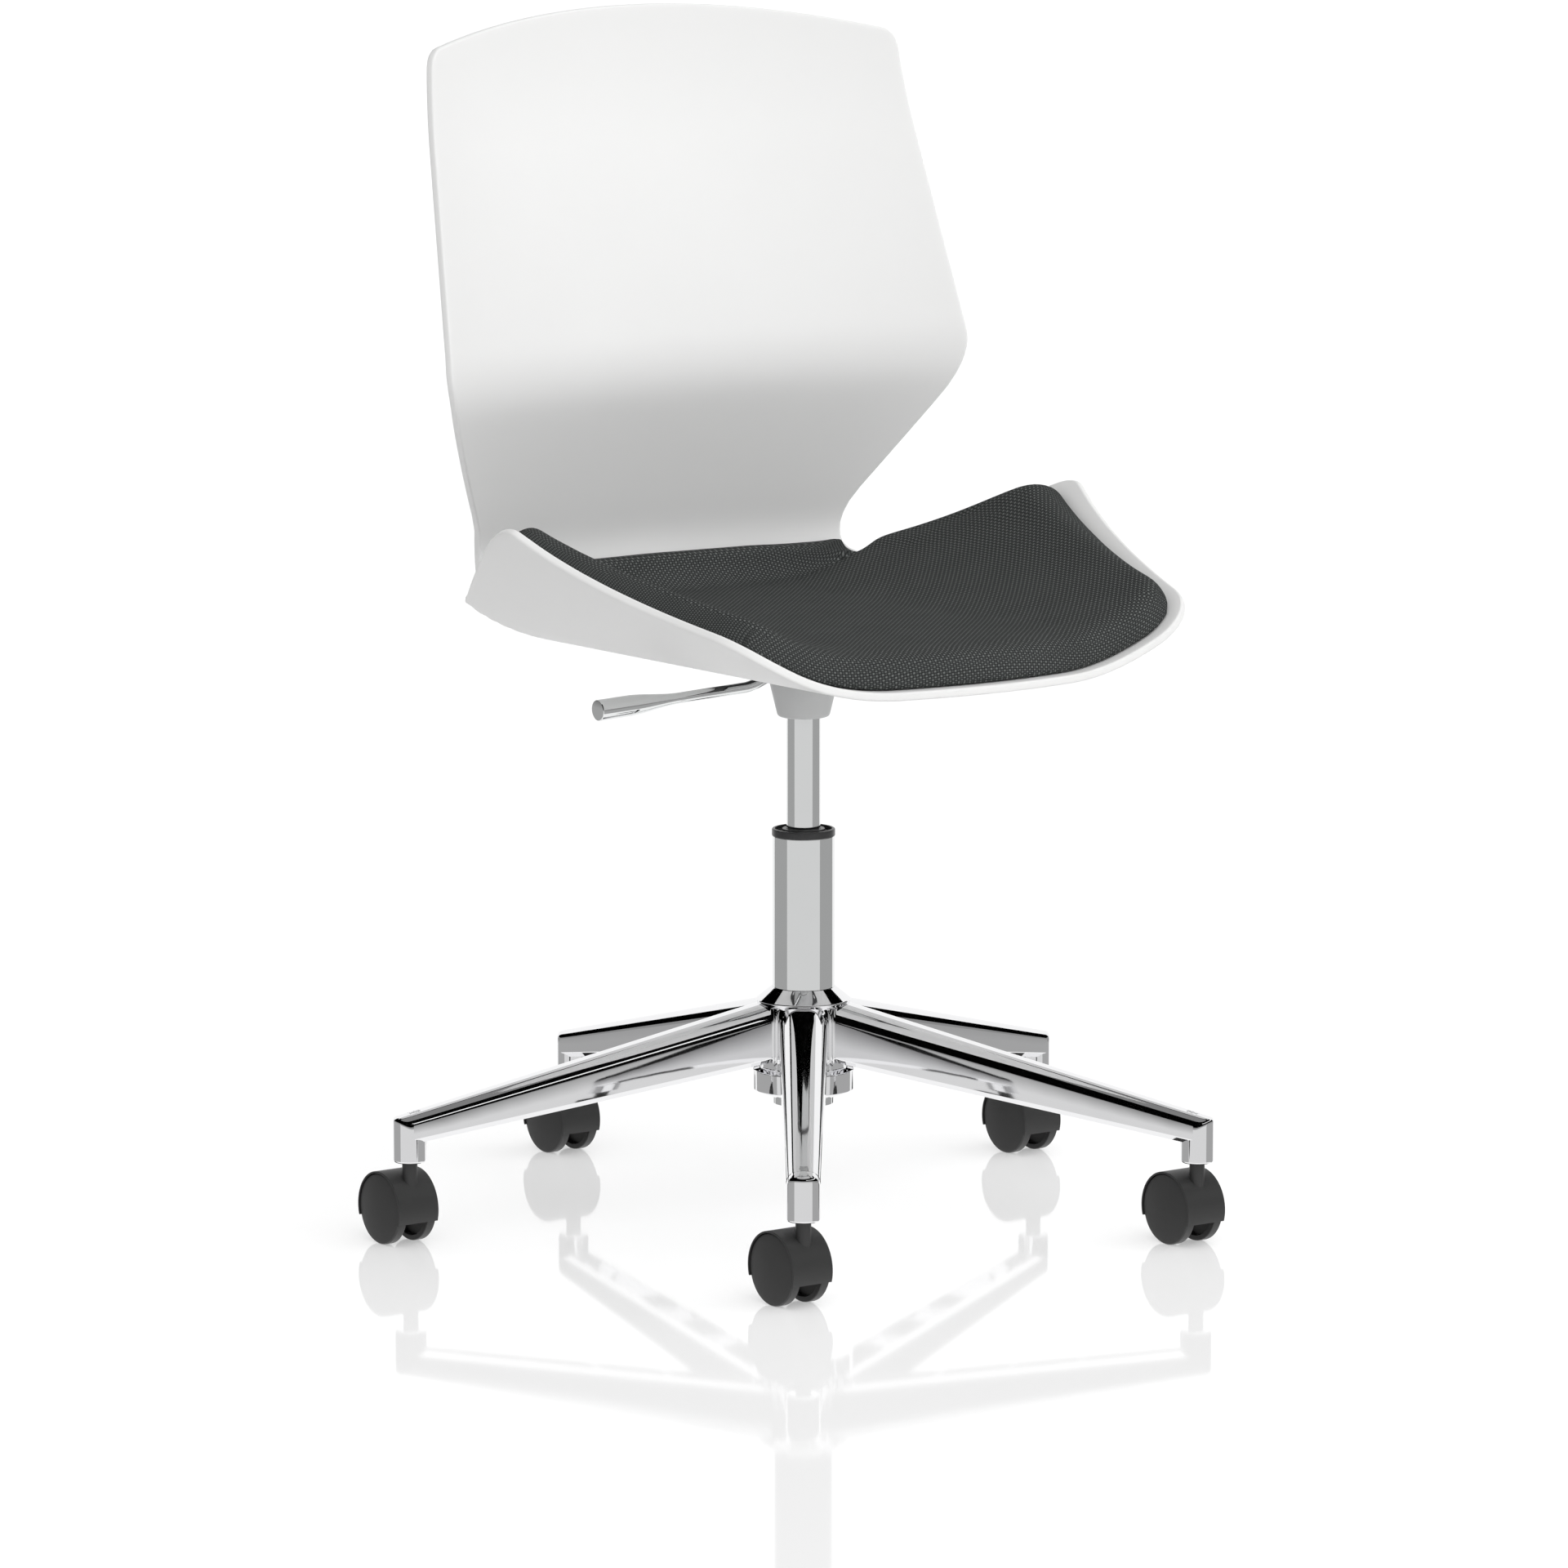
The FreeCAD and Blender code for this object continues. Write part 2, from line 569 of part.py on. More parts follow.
def retaining_clip():
    """Spring clip pushed on the rod's groove from one side."""
    clip = ring(CLIP_BOTTOM, CLIP_TOP, CLIP_RADIUS, GROOVE_RADIUS)
    slot = Part.makeBox(CLIP_RADIUS, CLIP_SLOT, CLIP_THICKNESS, V(0, -CLIP_SLOT / 2, CLIP_BOTTOM))
    return only_solid(clip.cut(slot))


PISTON_RADIUS = CYLINDER_RADIUS - CYLINDER_WALL - RUNNING_GAP
save("piston_rod", piston_rod())
save("piston", ring(PISTON_BOTTOM, PISTON_BOTTOM + PISTON_LENGTH, PISTON_RADIUS, ROD_NECK_DIA / 2))
save("bearing_upper_washer",
     ring(ROD_SHOULDER - WASHER_THICKNESS, ROD_SHOULDER, BEARING_RADIUS, ROD_NECK_DIA / 2))
save("end_bumper", ring(ROD_SHOULDER, ROD_SHOULDER + BUMPER_HEIGHT, BEARING_RADIUS, ROD_DIA / 2))
save("retaining_clip", retaining_clip())


# Gas cylinder and the mechanism under the seat
TAPER_RADIUS = CYLINDER_RADIUS - TAPER_DROP
CYLINDER_BORE = CYLINDER_RADIUS - CYLINDER_WALL
BUTTON_BORE = BUTTON_DIA / 2 + RUNNING_GAP


def gas_cylinder():
    """Cylinder open below, with a tapered closed head that holds the release button."""
    roof = CYLINDER_TOP - CYLINDER_HEAD
    return turned([V(CYLINDER_BORE, 0, CYLINDER_BOTTOM), V(CYLINDER_RADIUS, 0, CYLINDER_BOTTOM),
                   V(CYLINDER_RADIUS, 0, TAPER_BOTTOM), V(TAPER_RADIUS, 0, CYLINDER_TOP),
                   V(BUTTON_BORE, 0, CYLINDER_TOP), V(BUTTON_BORE, 0, roof), V(CYLINDER_BORE, 0, roof)],
                  V(), UP).Solids[0]


def bar_towards_right(start, end, half_width, bottom, top):
    """Block across the column's right side, from one distance to another."""
    return Part.makeBox(end - start, 2 * half_width, top - bottom, V(-end, -half_width, bottom))


EAR_INNER = LEVER_TONGUE_WIDTH / 2 + REST_GAP
EAR_OUTER = EAR_INNER + EAR_THICKNESS
EAR_BOTTOM = PIVOT_HEIGHT - PIVOT_BOSS_RADIUS
LEVER_SLOT_HALF = LEVER_TONGUE_WIDTH / 2 + LEVER_SLOT_SIDE
LEVER_SLOT_BOTTOM = PIVOT_HEIGHT - LEVER_BEND_DROP - LEVER_NECK_RADIUS - LEVER_SLOT_SIDE


def taper_socket():
    """Steel socket on the cylinder's taper, slotted for the lever."""
    start = COVER_BOTTOM + SOCKET_START
    body = turned([V(CYLINDER_RADIUS, 0, start), V(SOCKET_RADIUS, 0, start),
                   V(SOCKET_RADIUS, 0, PLATE_BOTTOM), V(TAPER_RADIUS, 0, PLATE_BOTTOM),
                   V(TAPER_RADIUS, 0, CYLINDER_TOP), V(CYLINDER_RADIUS, 0, TAPER_BOTTOM)], V(), UP)
    slot = bar_towards_right(0, 2 * SOCKET_RADIUS, LEVER_SLOT_HALF, CYLINDER_TOP, PLATE_BOTTOM)
    return only_solid(body.Solids[0].cut(slot))


def bolt_places():
    return [(x * BOLT_SPAN_X / 2, y * BOLT_SPAN_Y / 2) for x in (-1, 1) for y in (-1, 1)]


def seat_plate():
    """Rounded steel plate with four bolt holes."""
    corners = [(x * PLATE_WIDTH / 2, y * PLATE_LENGTH / 2, PLATE_CORNER)
               for x, y in ((-1, -1), (1, -1), (1, 1), (-1, 1))]
    plate = Part.Face(rounded_outline(corners)).extrude(UP * PLATE_THICKNESS)
    plate.translate(UP * PLATE_BOTTOM)
    for x, y in bolt_places():
        plate = plate.cut(Part.makeCylinder(BOLT_DIA / 2, PLATE_THICKNESS, V(x, y, PLATE_BOTTOM)))
    return only_solid(plate)


def hexagon(across, bottom, height, x, y):
    corner = across / math.sqrt(3)
    points = [V(x + corner * math.cos(k * math.pi / 3), y + corner * math.sin(k * math.pi / 3), bottom)
              for k in range(6)]
    return Part.Face(polygon(points)).extrude(UP * height)


def plate_bolt(x, y):
    """Hexagon bolt from below, through the plate into the shell's insert."""
    head = hexagon(BOLT_HEAD_ACROSS, PLATE_BOTTOM - BOLT_HEAD_HEIGHT, BOLT_HEAD_HEIGHT, x, y)
    length = SHELL_BOTTOM + INSERT_LENGTH - PLATE_BOTTOM
    return only_solid(head.fuse(Part.makeCylinder(BOLT_DIA / 2, length, V(x, y, PLATE_BOTTOM))))


def shell_insert(x, y):
    body = Part.makeCylinder(INSERT_DIA / 2, INSERT_LENGTH, V(x, y, SHELL_BOTTOM))
    return body.cut(Part.makeCylinder(BOLT_DIA / 2, INSERT_LENGTH, V(x, y, SHELL_BOTTOM)))


def cover_shape(shift):
    """Trumpet under the seat; a shift of the wall's thickness gives the space inside."""
    foot = COVER_FOOT_RADIUS - shift
    neck = COVER_NECK_RADIUS - shift
    top = PLATE_BOTTOM - COVER_RIM_GAP
    rim = V(COVER_RIM_RADIUS - shift, 0, top - COVER_WALL - COVER_LIP + shift)
    rim_top = V(rim.x, 0, top)
    middle = V(0, 0, top)
    points = [V(0, 0, COVER_BOTTOM), V(foot, 0, COVER_BOTTOM),
              V(foot + COVER_FOOT_BEVEL, 0, COVER_BOTTOM + COVER_FOOT_BEVEL),
              V(neck, 0, COVER_BOTTOM + COVER_NECK_HEIGHT)]
    edges = [line(a, b) for a, b in zip(points, points[1:])]
    edges += [tangent_arc(rim, -ACROSS, points[3]), line(rim, rim_top),
              line(rim_top, middle), line(middle, points[0])]
    return Part.Face(Part.Wire(edges)).revolve(V(), UP, 360).Solids[0]


def mechanism_cover():
    """Trumpet-shaped plastic cover with clearances for the socket, the bolts and the lever."""
    inside = cover_shape(COVER_WALL)
    cover = cover_shape(0).cut(inside)
    cover = cover.cut(Part.makeCylinder(CYLINDER_RADIUS + REST_GAP, MECHANISM_HEIGHT, V(0, 0, COVER_BOTTOM)))
    slot = bar_towards_right(SOCKET_RADIUS, COVER_RIM_RADIUS, LEVER_SLOT_HALF, LEVER_SLOT_BOTTOM, PLATE_BOTTOM)
    ears = bar_towards_right(SOCKET_RADIUS, COVER_RIM_RADIUS, EAR_OUTER + REST_GAP, EAR_BOTTOM - REST_GAP, PLATE_BOTTOM)
    return only_solid(cover.cut(slot).cut(ears))


save("gas_cylinder", gas_cylinder())
save("rod_gland", ring(CYLINDER_BOTTOM, CYLINDER_BOTTOM + GLAND_LENGTH, CYLINDER_BORE, ROD_DIA / 2 + RUNNING_GAP))
save("taper_socket", taper_socket())
save("seat_plate", seat_plate())
save("plate_bolts", [plate_bolt(x, y) for x, y in bolt_places()])
save("shell_inserts", [shell_insert(x, y) for x, y in bolt_places()])
save("mechanism_cover", mechanism_cover())
save("valve_button", Part.makeCylinder(BUTTON_DIA / 2, BUTTON_LENGTH, V(0, 0, BUTTON_TOP - BUTTON_LENGTH)))


# Release lever and its pivot
PIVOT = V(-PIVOT_OUT, 0, PIVOT_HEIGHT)


def along_y(radius, half_length):
    """Cylinder on the lever's pivot line."""
    return Part.makeCylinder(radius, 2 * half_length, PIVOT - V(0, half_length, 0), V(0, 1, 0))


def lever_bracket():
    """Two ears under the seat plate that hold the lever's pin."""
    ears = []
    for side in (-1, 1):
        near = min(side * EAR_INNER, side * EAR_OUTER)
        ear = Part.makeBox(EAR_LENGTH, EAR_THICKNESS, PLATE_BOTTOM - EAR_BOTTOM,
                          V(PIVOT.x - EAR_LENGTH / 2, near, EAR_BOTTOM))
        ears.append(ear.cut(along_y(PIVOT_DIA / 2, EAR_OUTER)))
    return ears


def release_lever():
    """Turned grip and neck, bent up at the root to a flat tongue over the release button."""
    bend = V(-LEVER_BEND, 0, PIVOT_HEIGHT - LEVER_BEND_DROP)
    tip = V(-LEVER_REACH, 0, bend.z - LEVER_DROOP)
    outward = (tip - bend).normalize()
    upward = V(0, 1, 0).cross(outward) * -1
    length = (tip - bend).Length

    def on_handle(distance, radius):
        return bend + outward * distance + upward * radius

    flare_end = length - LEVER_GRIP_LENGTH
    flare_start = flare_end - LEVER_FLARE_LENGTH
    middle = (flare_start + flare_end) / 2
    mean = (LEVER_NECK_RADIUS + LEVER_GRIP_RADIUS) / 2
    start = on_handle(flare_start, LEVER_NECK_RADIUS)
    half_way = on_handle(middle, mean)
    end = on_handle(flare_end, LEVER_GRIP_RADIUS)
    edges = [line(bend, on_handle(0, LEVER_NECK_RADIUS)), line(on_handle(0, LEVER_NECK_RADIUS), start),
             tangent_arc(start, outward, half_way), tangent_arc(end, -outward, half_way),
             line(end, on_handle(length, LEVER_GRIP_RADIUS)), line(on_handle(length, LEVER_GRIP_RADIUS), tip),
             line(tip, bend)]
    handle = Part.Face(Part.Wire(edges)).revolve(bend, outward, 360).Solids[0]
    rise = PIVOT - bend
    root = Part.makeCylinder(LEVER_NECK_RADIUS, rise.Length, bend, rise)
    knuckle = Part.makeSphere(LEVER_NECK_RADIUS, bend)
    boss = along_y(PIVOT_BOSS_RADIUS, LEVER_TONGUE_WIDTH / 2)
    tongue = Part.makeBox(PIVOT_OUT + LEVER_TONGUE_END, LEVER_TONGUE_WIDTH, LEVER_TONGUE_HEIGHT,
                          V(-PIVOT_OUT, -LEVER_TONGUE_WIDTH / 2, PIVOT_HEIGHT - LEVER_TONGUE_HEIGHT / 2))
    lever = handle.multiFuse([root, knuckle, boss, tongue])
    return only_solid(lever.cut(along_y(PIVOT_DIA / 2 + RUNNING_GAP, EAR_OUTER)))


save("release_lever", release_lever())
save("lever_bracket", lever_bracket())
save("lever_pin", along_y(PIVOT_DIA / 2, EAR_OUTER))


# Shell surface: a centre profile from the front edge to the crest, with a trough across it
PROFILE = [(SEAT_FRONT + SEAT_REAR + GRID_MARGIN, 0, 0), (None, BEND_RADIUS, BEND_TURN), (LOWER_BACK, 0, 0),
           (None, LUMBAR_RADIUS, -LUMBAR_TURN), (UPPER_BACK, 0, 0), (None, CREST_RADIUS, CREST_TURN)]


def profile_stations():
    """Points (y, z, heading, turn of the bend so far) along the shell's centre line."""
    y, z, heading, bent = -SEAT_FRONT - GRID_MARGIN, 0.0, 0.0, 0.0
    stations = []
    for length, radius, turn in PROFILE:
        swing = math.radians(turn)
        span = length if length else radius * abs(swing)
        steps = max(3, round(span / GRID_STEP))
        for step in range(steps + 1):
            share = step / steps
            if length:
                here = (y + share * length * math.cos(heading), z + share * length * math.sin(heading), heading)
            else:
                new = heading + share * swing
                sign = math.copysign(radius, swing)
                here = (y + sign * (math.sin(new) - math.sin(heading)),
                        z - sign * (math.cos(new) - math.cos(heading)), new)
            bent = max(bent, here[2])
            if step < steps:
                stations.append(here + (bent,))
        y, z, heading = here
    return stations + [(y, z, heading, bent)]


def trough(bent):
    """Flat half width and radius of the cross curve where the bend has turned so far."""
    share = bent / math.radians(BEND_TURN)
    blend = share * share * (3 - 2 * share)
    seat_radius = ((WING_HALF - SEAT_FLAT) ** 2 + WING_RISE ** 2) / (2 * WING_RISE)
    return SEAT_FLAT * (1 - blend), 1 / ((1 - blend) / seat_radius + blend / BACK_RADIUS)


def rise_across(x, bent):
    """Height of the cross curve over the centre line; straight beyond the wing's half width."""
    flat, radius = trough(bent)
    run = max(0.0, min(abs(x), WING_HALF) - flat)
    level = math.sqrt(radius ** 2 - run ** 2)
    return radius - level + max(0.0, abs(x) - WING_HALF) * run / level


def lift(y, z, bent, x, height):
    """Point over the centre line: straight up on the seat, turning forward through the bend."""
    lean = min(bent, math.pi / 2)
    return V(x, y - height * math.sin(lean), z + SEAT_FACE + height * math.cos(lean))


def shell_surface():
    half = WING_HALF + GRID_MARGIN
    columns = round(half / GRID_STEP)
    rows = []
    for y, z, heading, bent in profile_stations():
        places = [half * step / columns for step in range(-columns, columns + 1)]
        rows.append([lift(y, z, bent, x, rise_across(x, bent)) for x in places])
    surface = Part.BSplineSurface()
    surface.interpolate(rows)
    return surface.toShape()


def outline_prism(inset):
    """Prism of the shell's outline, square to the 45 degree plane, drawn in by the inset."""
    front_up = -(SEAT_FRONT / math.sqrt(2)) - FRONT_ROUND * (math.hypot(1, FRONT_SLOPE) - 1)
    right = [(FRONT_CORNER_HALF, front_up + FRONT_SLOPE * FRONT_CORNER_HALF, FRONT_CORNER_ROUND),
             (WING_TIP_HALF, WING_TIP_UP, WING_TIP_ROUND), (WAIST_HALF, WAIST_LOW_UP, WAIST_ROUND),
             (WAIST_HALF, WAIST_HIGH_UP, WAIST_ROUND), (LUMBAR_HALF, LUMBAR_UP, LUMBAR_ROUND),
             (TOP_HALF, TOP_CORNER_UP, TOP_CORNER_ROUND)]
    left = [(-x, up, radius) for x, up, radius in reversed(right)]
    top = (0, TOP_CORNER_UP + TOP_SLOPE * TOP_HALF, TOP_ROUND)
    face = Part.Face(rounded_outline([(0, front_up, FRONT_ROUND)] + right + [top] + left))
    if inset:
        face = face.makeOffset2D(-inset)
    depth = 4 * WING_HALF
    prism = face.extrude(UP * (2 * depth))
    prism.translate(V(0, 0, -depth))
    prism.rotate(V(), ACROSS, 45)
    prism.translate(UP * SEAT_FACE)
    return prism


def sheet(face, start, end):
    """Solid between two distances from the shell's seat face, measured along its normals."""
    base = face if start == 0 else face.makeOffsetShape(-start, 0.01).Faces[0]
    return base.makeOffsetShape(start - end, 0.01, fill=True)


SURFACE = shell_surface()


def pad_screw_places():
    return [(x * PAD_SCREW_SPAN_X / 2, y) for x in (-1, 1) for y in (-PAD_SCREW_FRONT, PAD_SCREW_REAR)]


def seat_shell():
    """Seat and back in one moulding, with its insert and screw holes."""
    face = SURFACE.common(outline_prism(0)).Faces[0]
    shell = sheet(face, 0, -SHELL_THICKNESS)
    for x, y in bolt_places():
        shell = shell.cut(Part.makeCylinder(INSERT_DIA / 2, INSERT_LENGTH + SHELL_THICKNESS,
                                            V(x, y, SHELL_BOTTOM - SHELL_THICKNESS)))
    for x, y in pad_screw_places():
        shell = shell.cut(pad_screw(x, y))
    return shell.Solids[0]


def pad_screw(x, y):
    """Countersunk-level screw from below, through the shell into the pad's board."""
    top = SEAT_FACE + REST_GAP + BOARD_THICKNESS - PAD_SCREW_SHORT
    shank = Part.makeCylinder(PAD_SCREW_DIA / 2, top - SHELL_BOTTOM, V(x, y, SHELL_BOTTOM))
    head = Part.makeCylinder(PAD_SCREW_HEAD_DIA / 2, PAD_SCREW_HEAD + REST_GAP, V(x, y, SHELL_BOTTOM - REST_GAP))
    return only_solid(shank.fuse(head))


def pad_stations():
    """Stations (y, z, bent, distance along the pad) from its front end to its rear end up the bend."""
    front = -SEAT_FRONT + PAD_INSET * math.sqrt(2) + PAD_END_TRIM
    straight = SEAT_REAR - front
    rear_turn = math.radians(PAD_REAR_TURN)
    length = straight + rear_turn * BEND_RADIUS
    marks = [PAD_ROLL * share for share in PAD_ROLL_SHARES]
    span = (length - 2 * PAD_ROLL) / PAD_STEPS
    marks += [PAD_ROLL + span * step for step in range(1, PAD_STEPS)]
    marks += [length - PAD_ROLL * share for share in reversed(PAD_ROLL_SHARES)]
    stations = []
    for mark in marks:
        bent = max(0.0, (mark - straight) / BEND_RADIUS)
        y = front + min(mark, straight) + BEND_RADIUS * math.sin(bent)
        stations.append((y, BEND_RADIUS * (1 - math.cos(bent)), bent, min(mark, length - mark)))
    return stations


def pad_half_width(edge, y, z, bent):
    """Half width of the pad's outline in the plane of one station."""
    size = 2 * WING_HALF
    above = BEND_RADIUS if bent else WING_RISE + GRID_MARGIN
    plane = Part.Face(polygon([V(-size, 0, -above), V(size, 0, -above), V(size, 0, above), V(-size, 0, above)]))
    plane.rotate(V(), ACROSS, math.degrees(bent))
    plane.translate(V(0, y, z + SEAT_FACE))
    crossing = edge.section(plane)
    return max(vertex.X for vertex in crossing.Vertexes)


def pad_section(half, y, z, bent, from_end):
    """Closed section of the pad: it follows the shell below and is crowned above, with drawn-in sides."""
    flat, radius = trough(bent)
    flat = min(flat, half * PAD_FLAT_SHARE)
    roll = 1 - min(1.0, from_end / PAD_ROLL)
    height = PAD_EDGE_HEIGHT + (PAD_HEIGHT - PAD_EDGE_HEIGHT) * math.sqrt(1 - roll ** 2)
    side = height * PAD_SIDE_SHARE
    reach = math.asin((half - flat) / radius)

    def over(angle, up):
        return flat + (radius - up) * math.sin(angle), radius - (radius - up) * math.cos(angle)

    draw = PAD_DRAW_IN / radius
    top = (flat, REST_GAP + height)
    top_end = over(reach - draw, REST_GAP + side)
    bulge = over(reach, REST_GAP + side / 2)
    foot = over(reach - draw, REST_GAP)
    foot_middle = over((reach - draw) / 2, REST_GAP)
    foot_start = (flat, REST_GAP)

    def at(point, sign):
        return lift(y, z, bent, sign * point[0], point[1])

    edges = [line(at(foot_start, -1), at(foot_start, 1)),
             arc(at(foot_start, 1), at(foot_middle, 1), at(foot, 1)), arc(at(foot, 1), at(bulge, 1), at(top_end, 1)),
             tangent_arc(at(top, 1), ACROSS, at(top_end, 1)), line(at(top, 1), at(top, -1)),
             tangent_arc(at(top, -1), -ACROSS, at(top_end, -1)),
             arc(at(top_end, -1), at(bulge, -1), at(foot, -1)),
             arc(at(foot, -1), at(foot_middle, -1), at(foot_start, -1))]
    return Part.Wire(edges)


def board_face():
    """Part of the shell's seat face that the pad's board lies over."""
    size = 4 * WING_HALF
    ahead = Part.makeBox(size, size, size, V(-size / 2, SEAT_REAR - size, SEAT_FACE - size / 2))
    return SURFACE.common(outline_prism(BOARD_INSET)).common(ahead).Faces[0]


def pad_board():
    """Thin moulded board that the pad is upholstered on, with its screw holes."""
    board = sheet(board_face(), REST_GAP, REST_GAP + BOARD_THICKNESS)
    for x, y in pad_screw_places():
        board = board.cut(pad_screw(x, y))
    return board.Solids[0]


def seat_pad():
    """Upholstered pad, hollowed below for its board."""
    edge = SURFACE.common(outline_prism(PAD_INSET)).Faces[0].OuterWire
    sections = [pad_section(pad_half_width(edge, y, z, bent), y, z, bent, from_end)
                for y, z, bent, from_end in pad_stations()]
    pocket = sheet(board_face(), -BOARD_POCKET, REST_GAP + BOARD_THICKNESS)
    return Part.makeLoft(sections, True, True).cut(pocket).Solids[0]


save("seat_shell", seat_shell())
save("pad_board", pad_board())
save("pad_screws", [pad_screw(x, y) for x, y in pad_screw_places()])
save("seat_pad", seat_pad())
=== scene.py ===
import bisect
import json
import math

import bmesh
import bpy
from mathutils import Matrix, Vector


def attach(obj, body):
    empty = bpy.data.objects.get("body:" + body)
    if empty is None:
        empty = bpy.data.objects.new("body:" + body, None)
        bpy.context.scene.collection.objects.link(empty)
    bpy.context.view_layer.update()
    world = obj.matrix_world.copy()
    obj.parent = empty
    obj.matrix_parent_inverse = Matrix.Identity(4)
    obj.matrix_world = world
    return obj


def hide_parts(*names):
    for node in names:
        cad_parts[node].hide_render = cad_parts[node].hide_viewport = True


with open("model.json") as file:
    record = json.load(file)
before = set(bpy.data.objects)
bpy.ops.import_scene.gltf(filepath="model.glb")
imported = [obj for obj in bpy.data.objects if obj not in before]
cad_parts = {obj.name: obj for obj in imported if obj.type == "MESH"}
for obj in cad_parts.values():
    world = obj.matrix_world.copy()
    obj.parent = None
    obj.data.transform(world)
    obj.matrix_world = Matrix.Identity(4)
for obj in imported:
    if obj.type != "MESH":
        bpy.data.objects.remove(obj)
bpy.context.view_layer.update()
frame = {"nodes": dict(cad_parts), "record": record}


# Star base: one die casting in aluminium, ground and polished to a mirror. A hub takes the column in
# a cone, and five hollow legs with a narrow flat along the top run down to round castor posts.
LEG_COUNT = 5
STEM_CIRCLE = 0.335
POST_RADIUS = 0.0135
POST_FOOT = 0.069
POST_EDGE = 0.0012
POST_REACH = 0.012
POST_RINGS = ((1, 0.0042), (1, 0.0026), (0.985, 0.0016), (0.945, 0.0007), (0.88, 0.0001), (0.66, 0), (0.44, 0),
              (0.2, 0), (0.02, 0))
LEG_ROOT = {"at": 0.0305, "half": 0.0200, "strip": 0.0040, "drop": 0.0150, "top": 0.1845, "under": 0.1350}
LEG_TIP = {"at": STEM_CIRCLE, "half": POST_RADIUS, "strip": 0.0040, "drop": 0.0080, "top": 0.1085,
           "under": 0.0840}
LEG_START = 0.0285
LEG_STRAIGHT = 0.05
LEG_STATIONS = 14
FILLET_STATIONS = 5
HUB_CLEARANCE = 0.0005
FIRST_LEG = 90
LEG_CHIN = 0.0050
LEG_WALL = 0.0045
LEG_FILLET = 0.0030
RIB_PLACES = (0.1105, 0.1712, 0.2319)
RIB_THICKNESS = 0.0035
RIB_TOP_SHARE = 0.5
ARRIS = 0.0006
HUB_PROFILE = [(0.0255, 0.1950, 0), (0.0265, 0.1950, 0.0004), (0.0395, 0.1845, 0.0012),
               (0.0355, 0.1800, 0.0030), (0.0355, 0.1285, 0.0020), (0.0413, 0.1265, 0.0010),
               (0.0413, 0.1100, 0.0012), (0.0320, 0.1060, 0.0008), (0.0249, 0.1060, 0)]


class Field:
    """A socket in a material's node tree. Arithmetic on fields adds Math nodes to that tree."""

    def __init__(self, tree, socket=None):
        self.tree = tree
        self.socket = socket

    def node(self, kind, settings=None, inputs=None, output=0):
        """Make any node: its settings first, then the values or links of its sockets."""
        made = self.tree.nodes.new(kind)
        for name, value in (settings or {}).items():
            setattr(made, name, value)
        for name, value in (inputs or {}).items():
            if isinstance(value, Field):
                self.tree.links.new(value.socket, made.inputs[name])
            else:
                made.inputs[name].default_value = value
        return Field(self.tree, made.outputs[output])

    def math(self, operation, *values):
        return self.node("ShaderNodeMath", {"operation": operation}, dict(enumerate(values)))

    def mix(self, low, high):
        """Blend two colours by this field."""
        return self.node("ShaderNodeMix", {"data_type": "RGBA"}, {0: self, 6: low, 7: high}, 2)

    def __add__(self, other):
        return self.math("ADD", self, other)

    def __sub__(self, other):
        return self.math("SUBTRACT", self, other)

    def __rsub__(self, other):
        return self.math("SUBTRACT", other, self)

    def __mul__(self, other):
        return self.math("MULTIPLY", self, other)

    def __gt__(self, other):
        return self.math("GREATER_THAN", self, other)

    def __lt__(self, other):
        return self.math("LESS_THAN", self, other)

    __radd__ = __add__
    __rmul__ = __mul__


def new_material(name, **fixed):
    """A material with one Principled shader. Sockets that are the same all over are set here."""
    material = bpy.data.materials.new(name)
    material.use_nodes = True
    shader = material.node_tree.nodes["Principled BSDF"]
    for socket, value in fixed.items():
        shader.inputs[socket.replace("_", " ")].default_value = value
    start = Field(material.node_tree)
    return material, start, start.node("ShaderNodeTexCoord", output=3)


def dress(material, **varying):
    """Link the sockets that change over the surface."""
    tree = material.node_tree
    for socket, field in varying.items():
        tree.links.new(field.socket, tree.nodes["Principled BSDF"].inputs[socket.replace("_", " ")])


def polished_metal(name, tint, smear):
    """Mirror-finished metal: polishing haze that changes the gloss, and soft waves left by the wheel."""
    material, start, place = new_material(name, Metallic=1.0, IOR=2.5)
    haze = start.node("ShaderNodeTexNoise", None, {"Vector": place, "Scale": 38.0, "Detail": 4.0})
    waves = start.node("ShaderNodeTexNoise", None, {"Vector": place, "Scale": 9.0, "Detail": 1.0})
    tone = haze.mix((*[0.97 * c for c in tint], 1), (*tint, 1))
    bump = start.node("ShaderNodeBump", None, {"Height": waves, "Strength": 0.02, "Distance": 0.002})
    dress(material, Base_Color=tone, Roughness=0.03 + haze * smear, Normal=bump)
    return material


def rounded(corners, closed=False, steps=6):
    """Points along straight runs through corners (x, y, radius), with each corner rounded."""
    points = []
    count = len(corners)
    for index, (x, y, radius) in enumerate(corners):
        corner = Vector((x, y))
        if radius == 0 or (not closed and index in (0, count - 1)):
            points.append(corner)
            continue
        back = (Vector(corners[index - 1][:2]) - corner).normalized()
        ahead = (Vector(corners[(index + 1) % count][:2]) - corner).normalized()
        half = back.angle(ahead) / 2
        inward = (back + ahead).normalized()
        centre = corner + inward * (radius / math.sin(half))
        sweep = math.pi / 2 - half
        turn = math.copysign(1, back.x * ahead.y - back.y * ahead.x)
        for step in range(-steps, steps + 1):
            angle = turn * sweep * step / steps
            points.append(centre - Matrix.Rotation(-angle, 2) @ inward * radius)
    return points


def chain(bm, points, closed=False):
    """Vertices at the points, joined by edges in order."""
    verts = [bm.verts.new(point) for point in points]
    ends = zip(verts, verts[1:] + verts[:1]) if closed else zip(verts, verts[1:])
    return verts, [bm.edges.new(pair) for pair in ends]


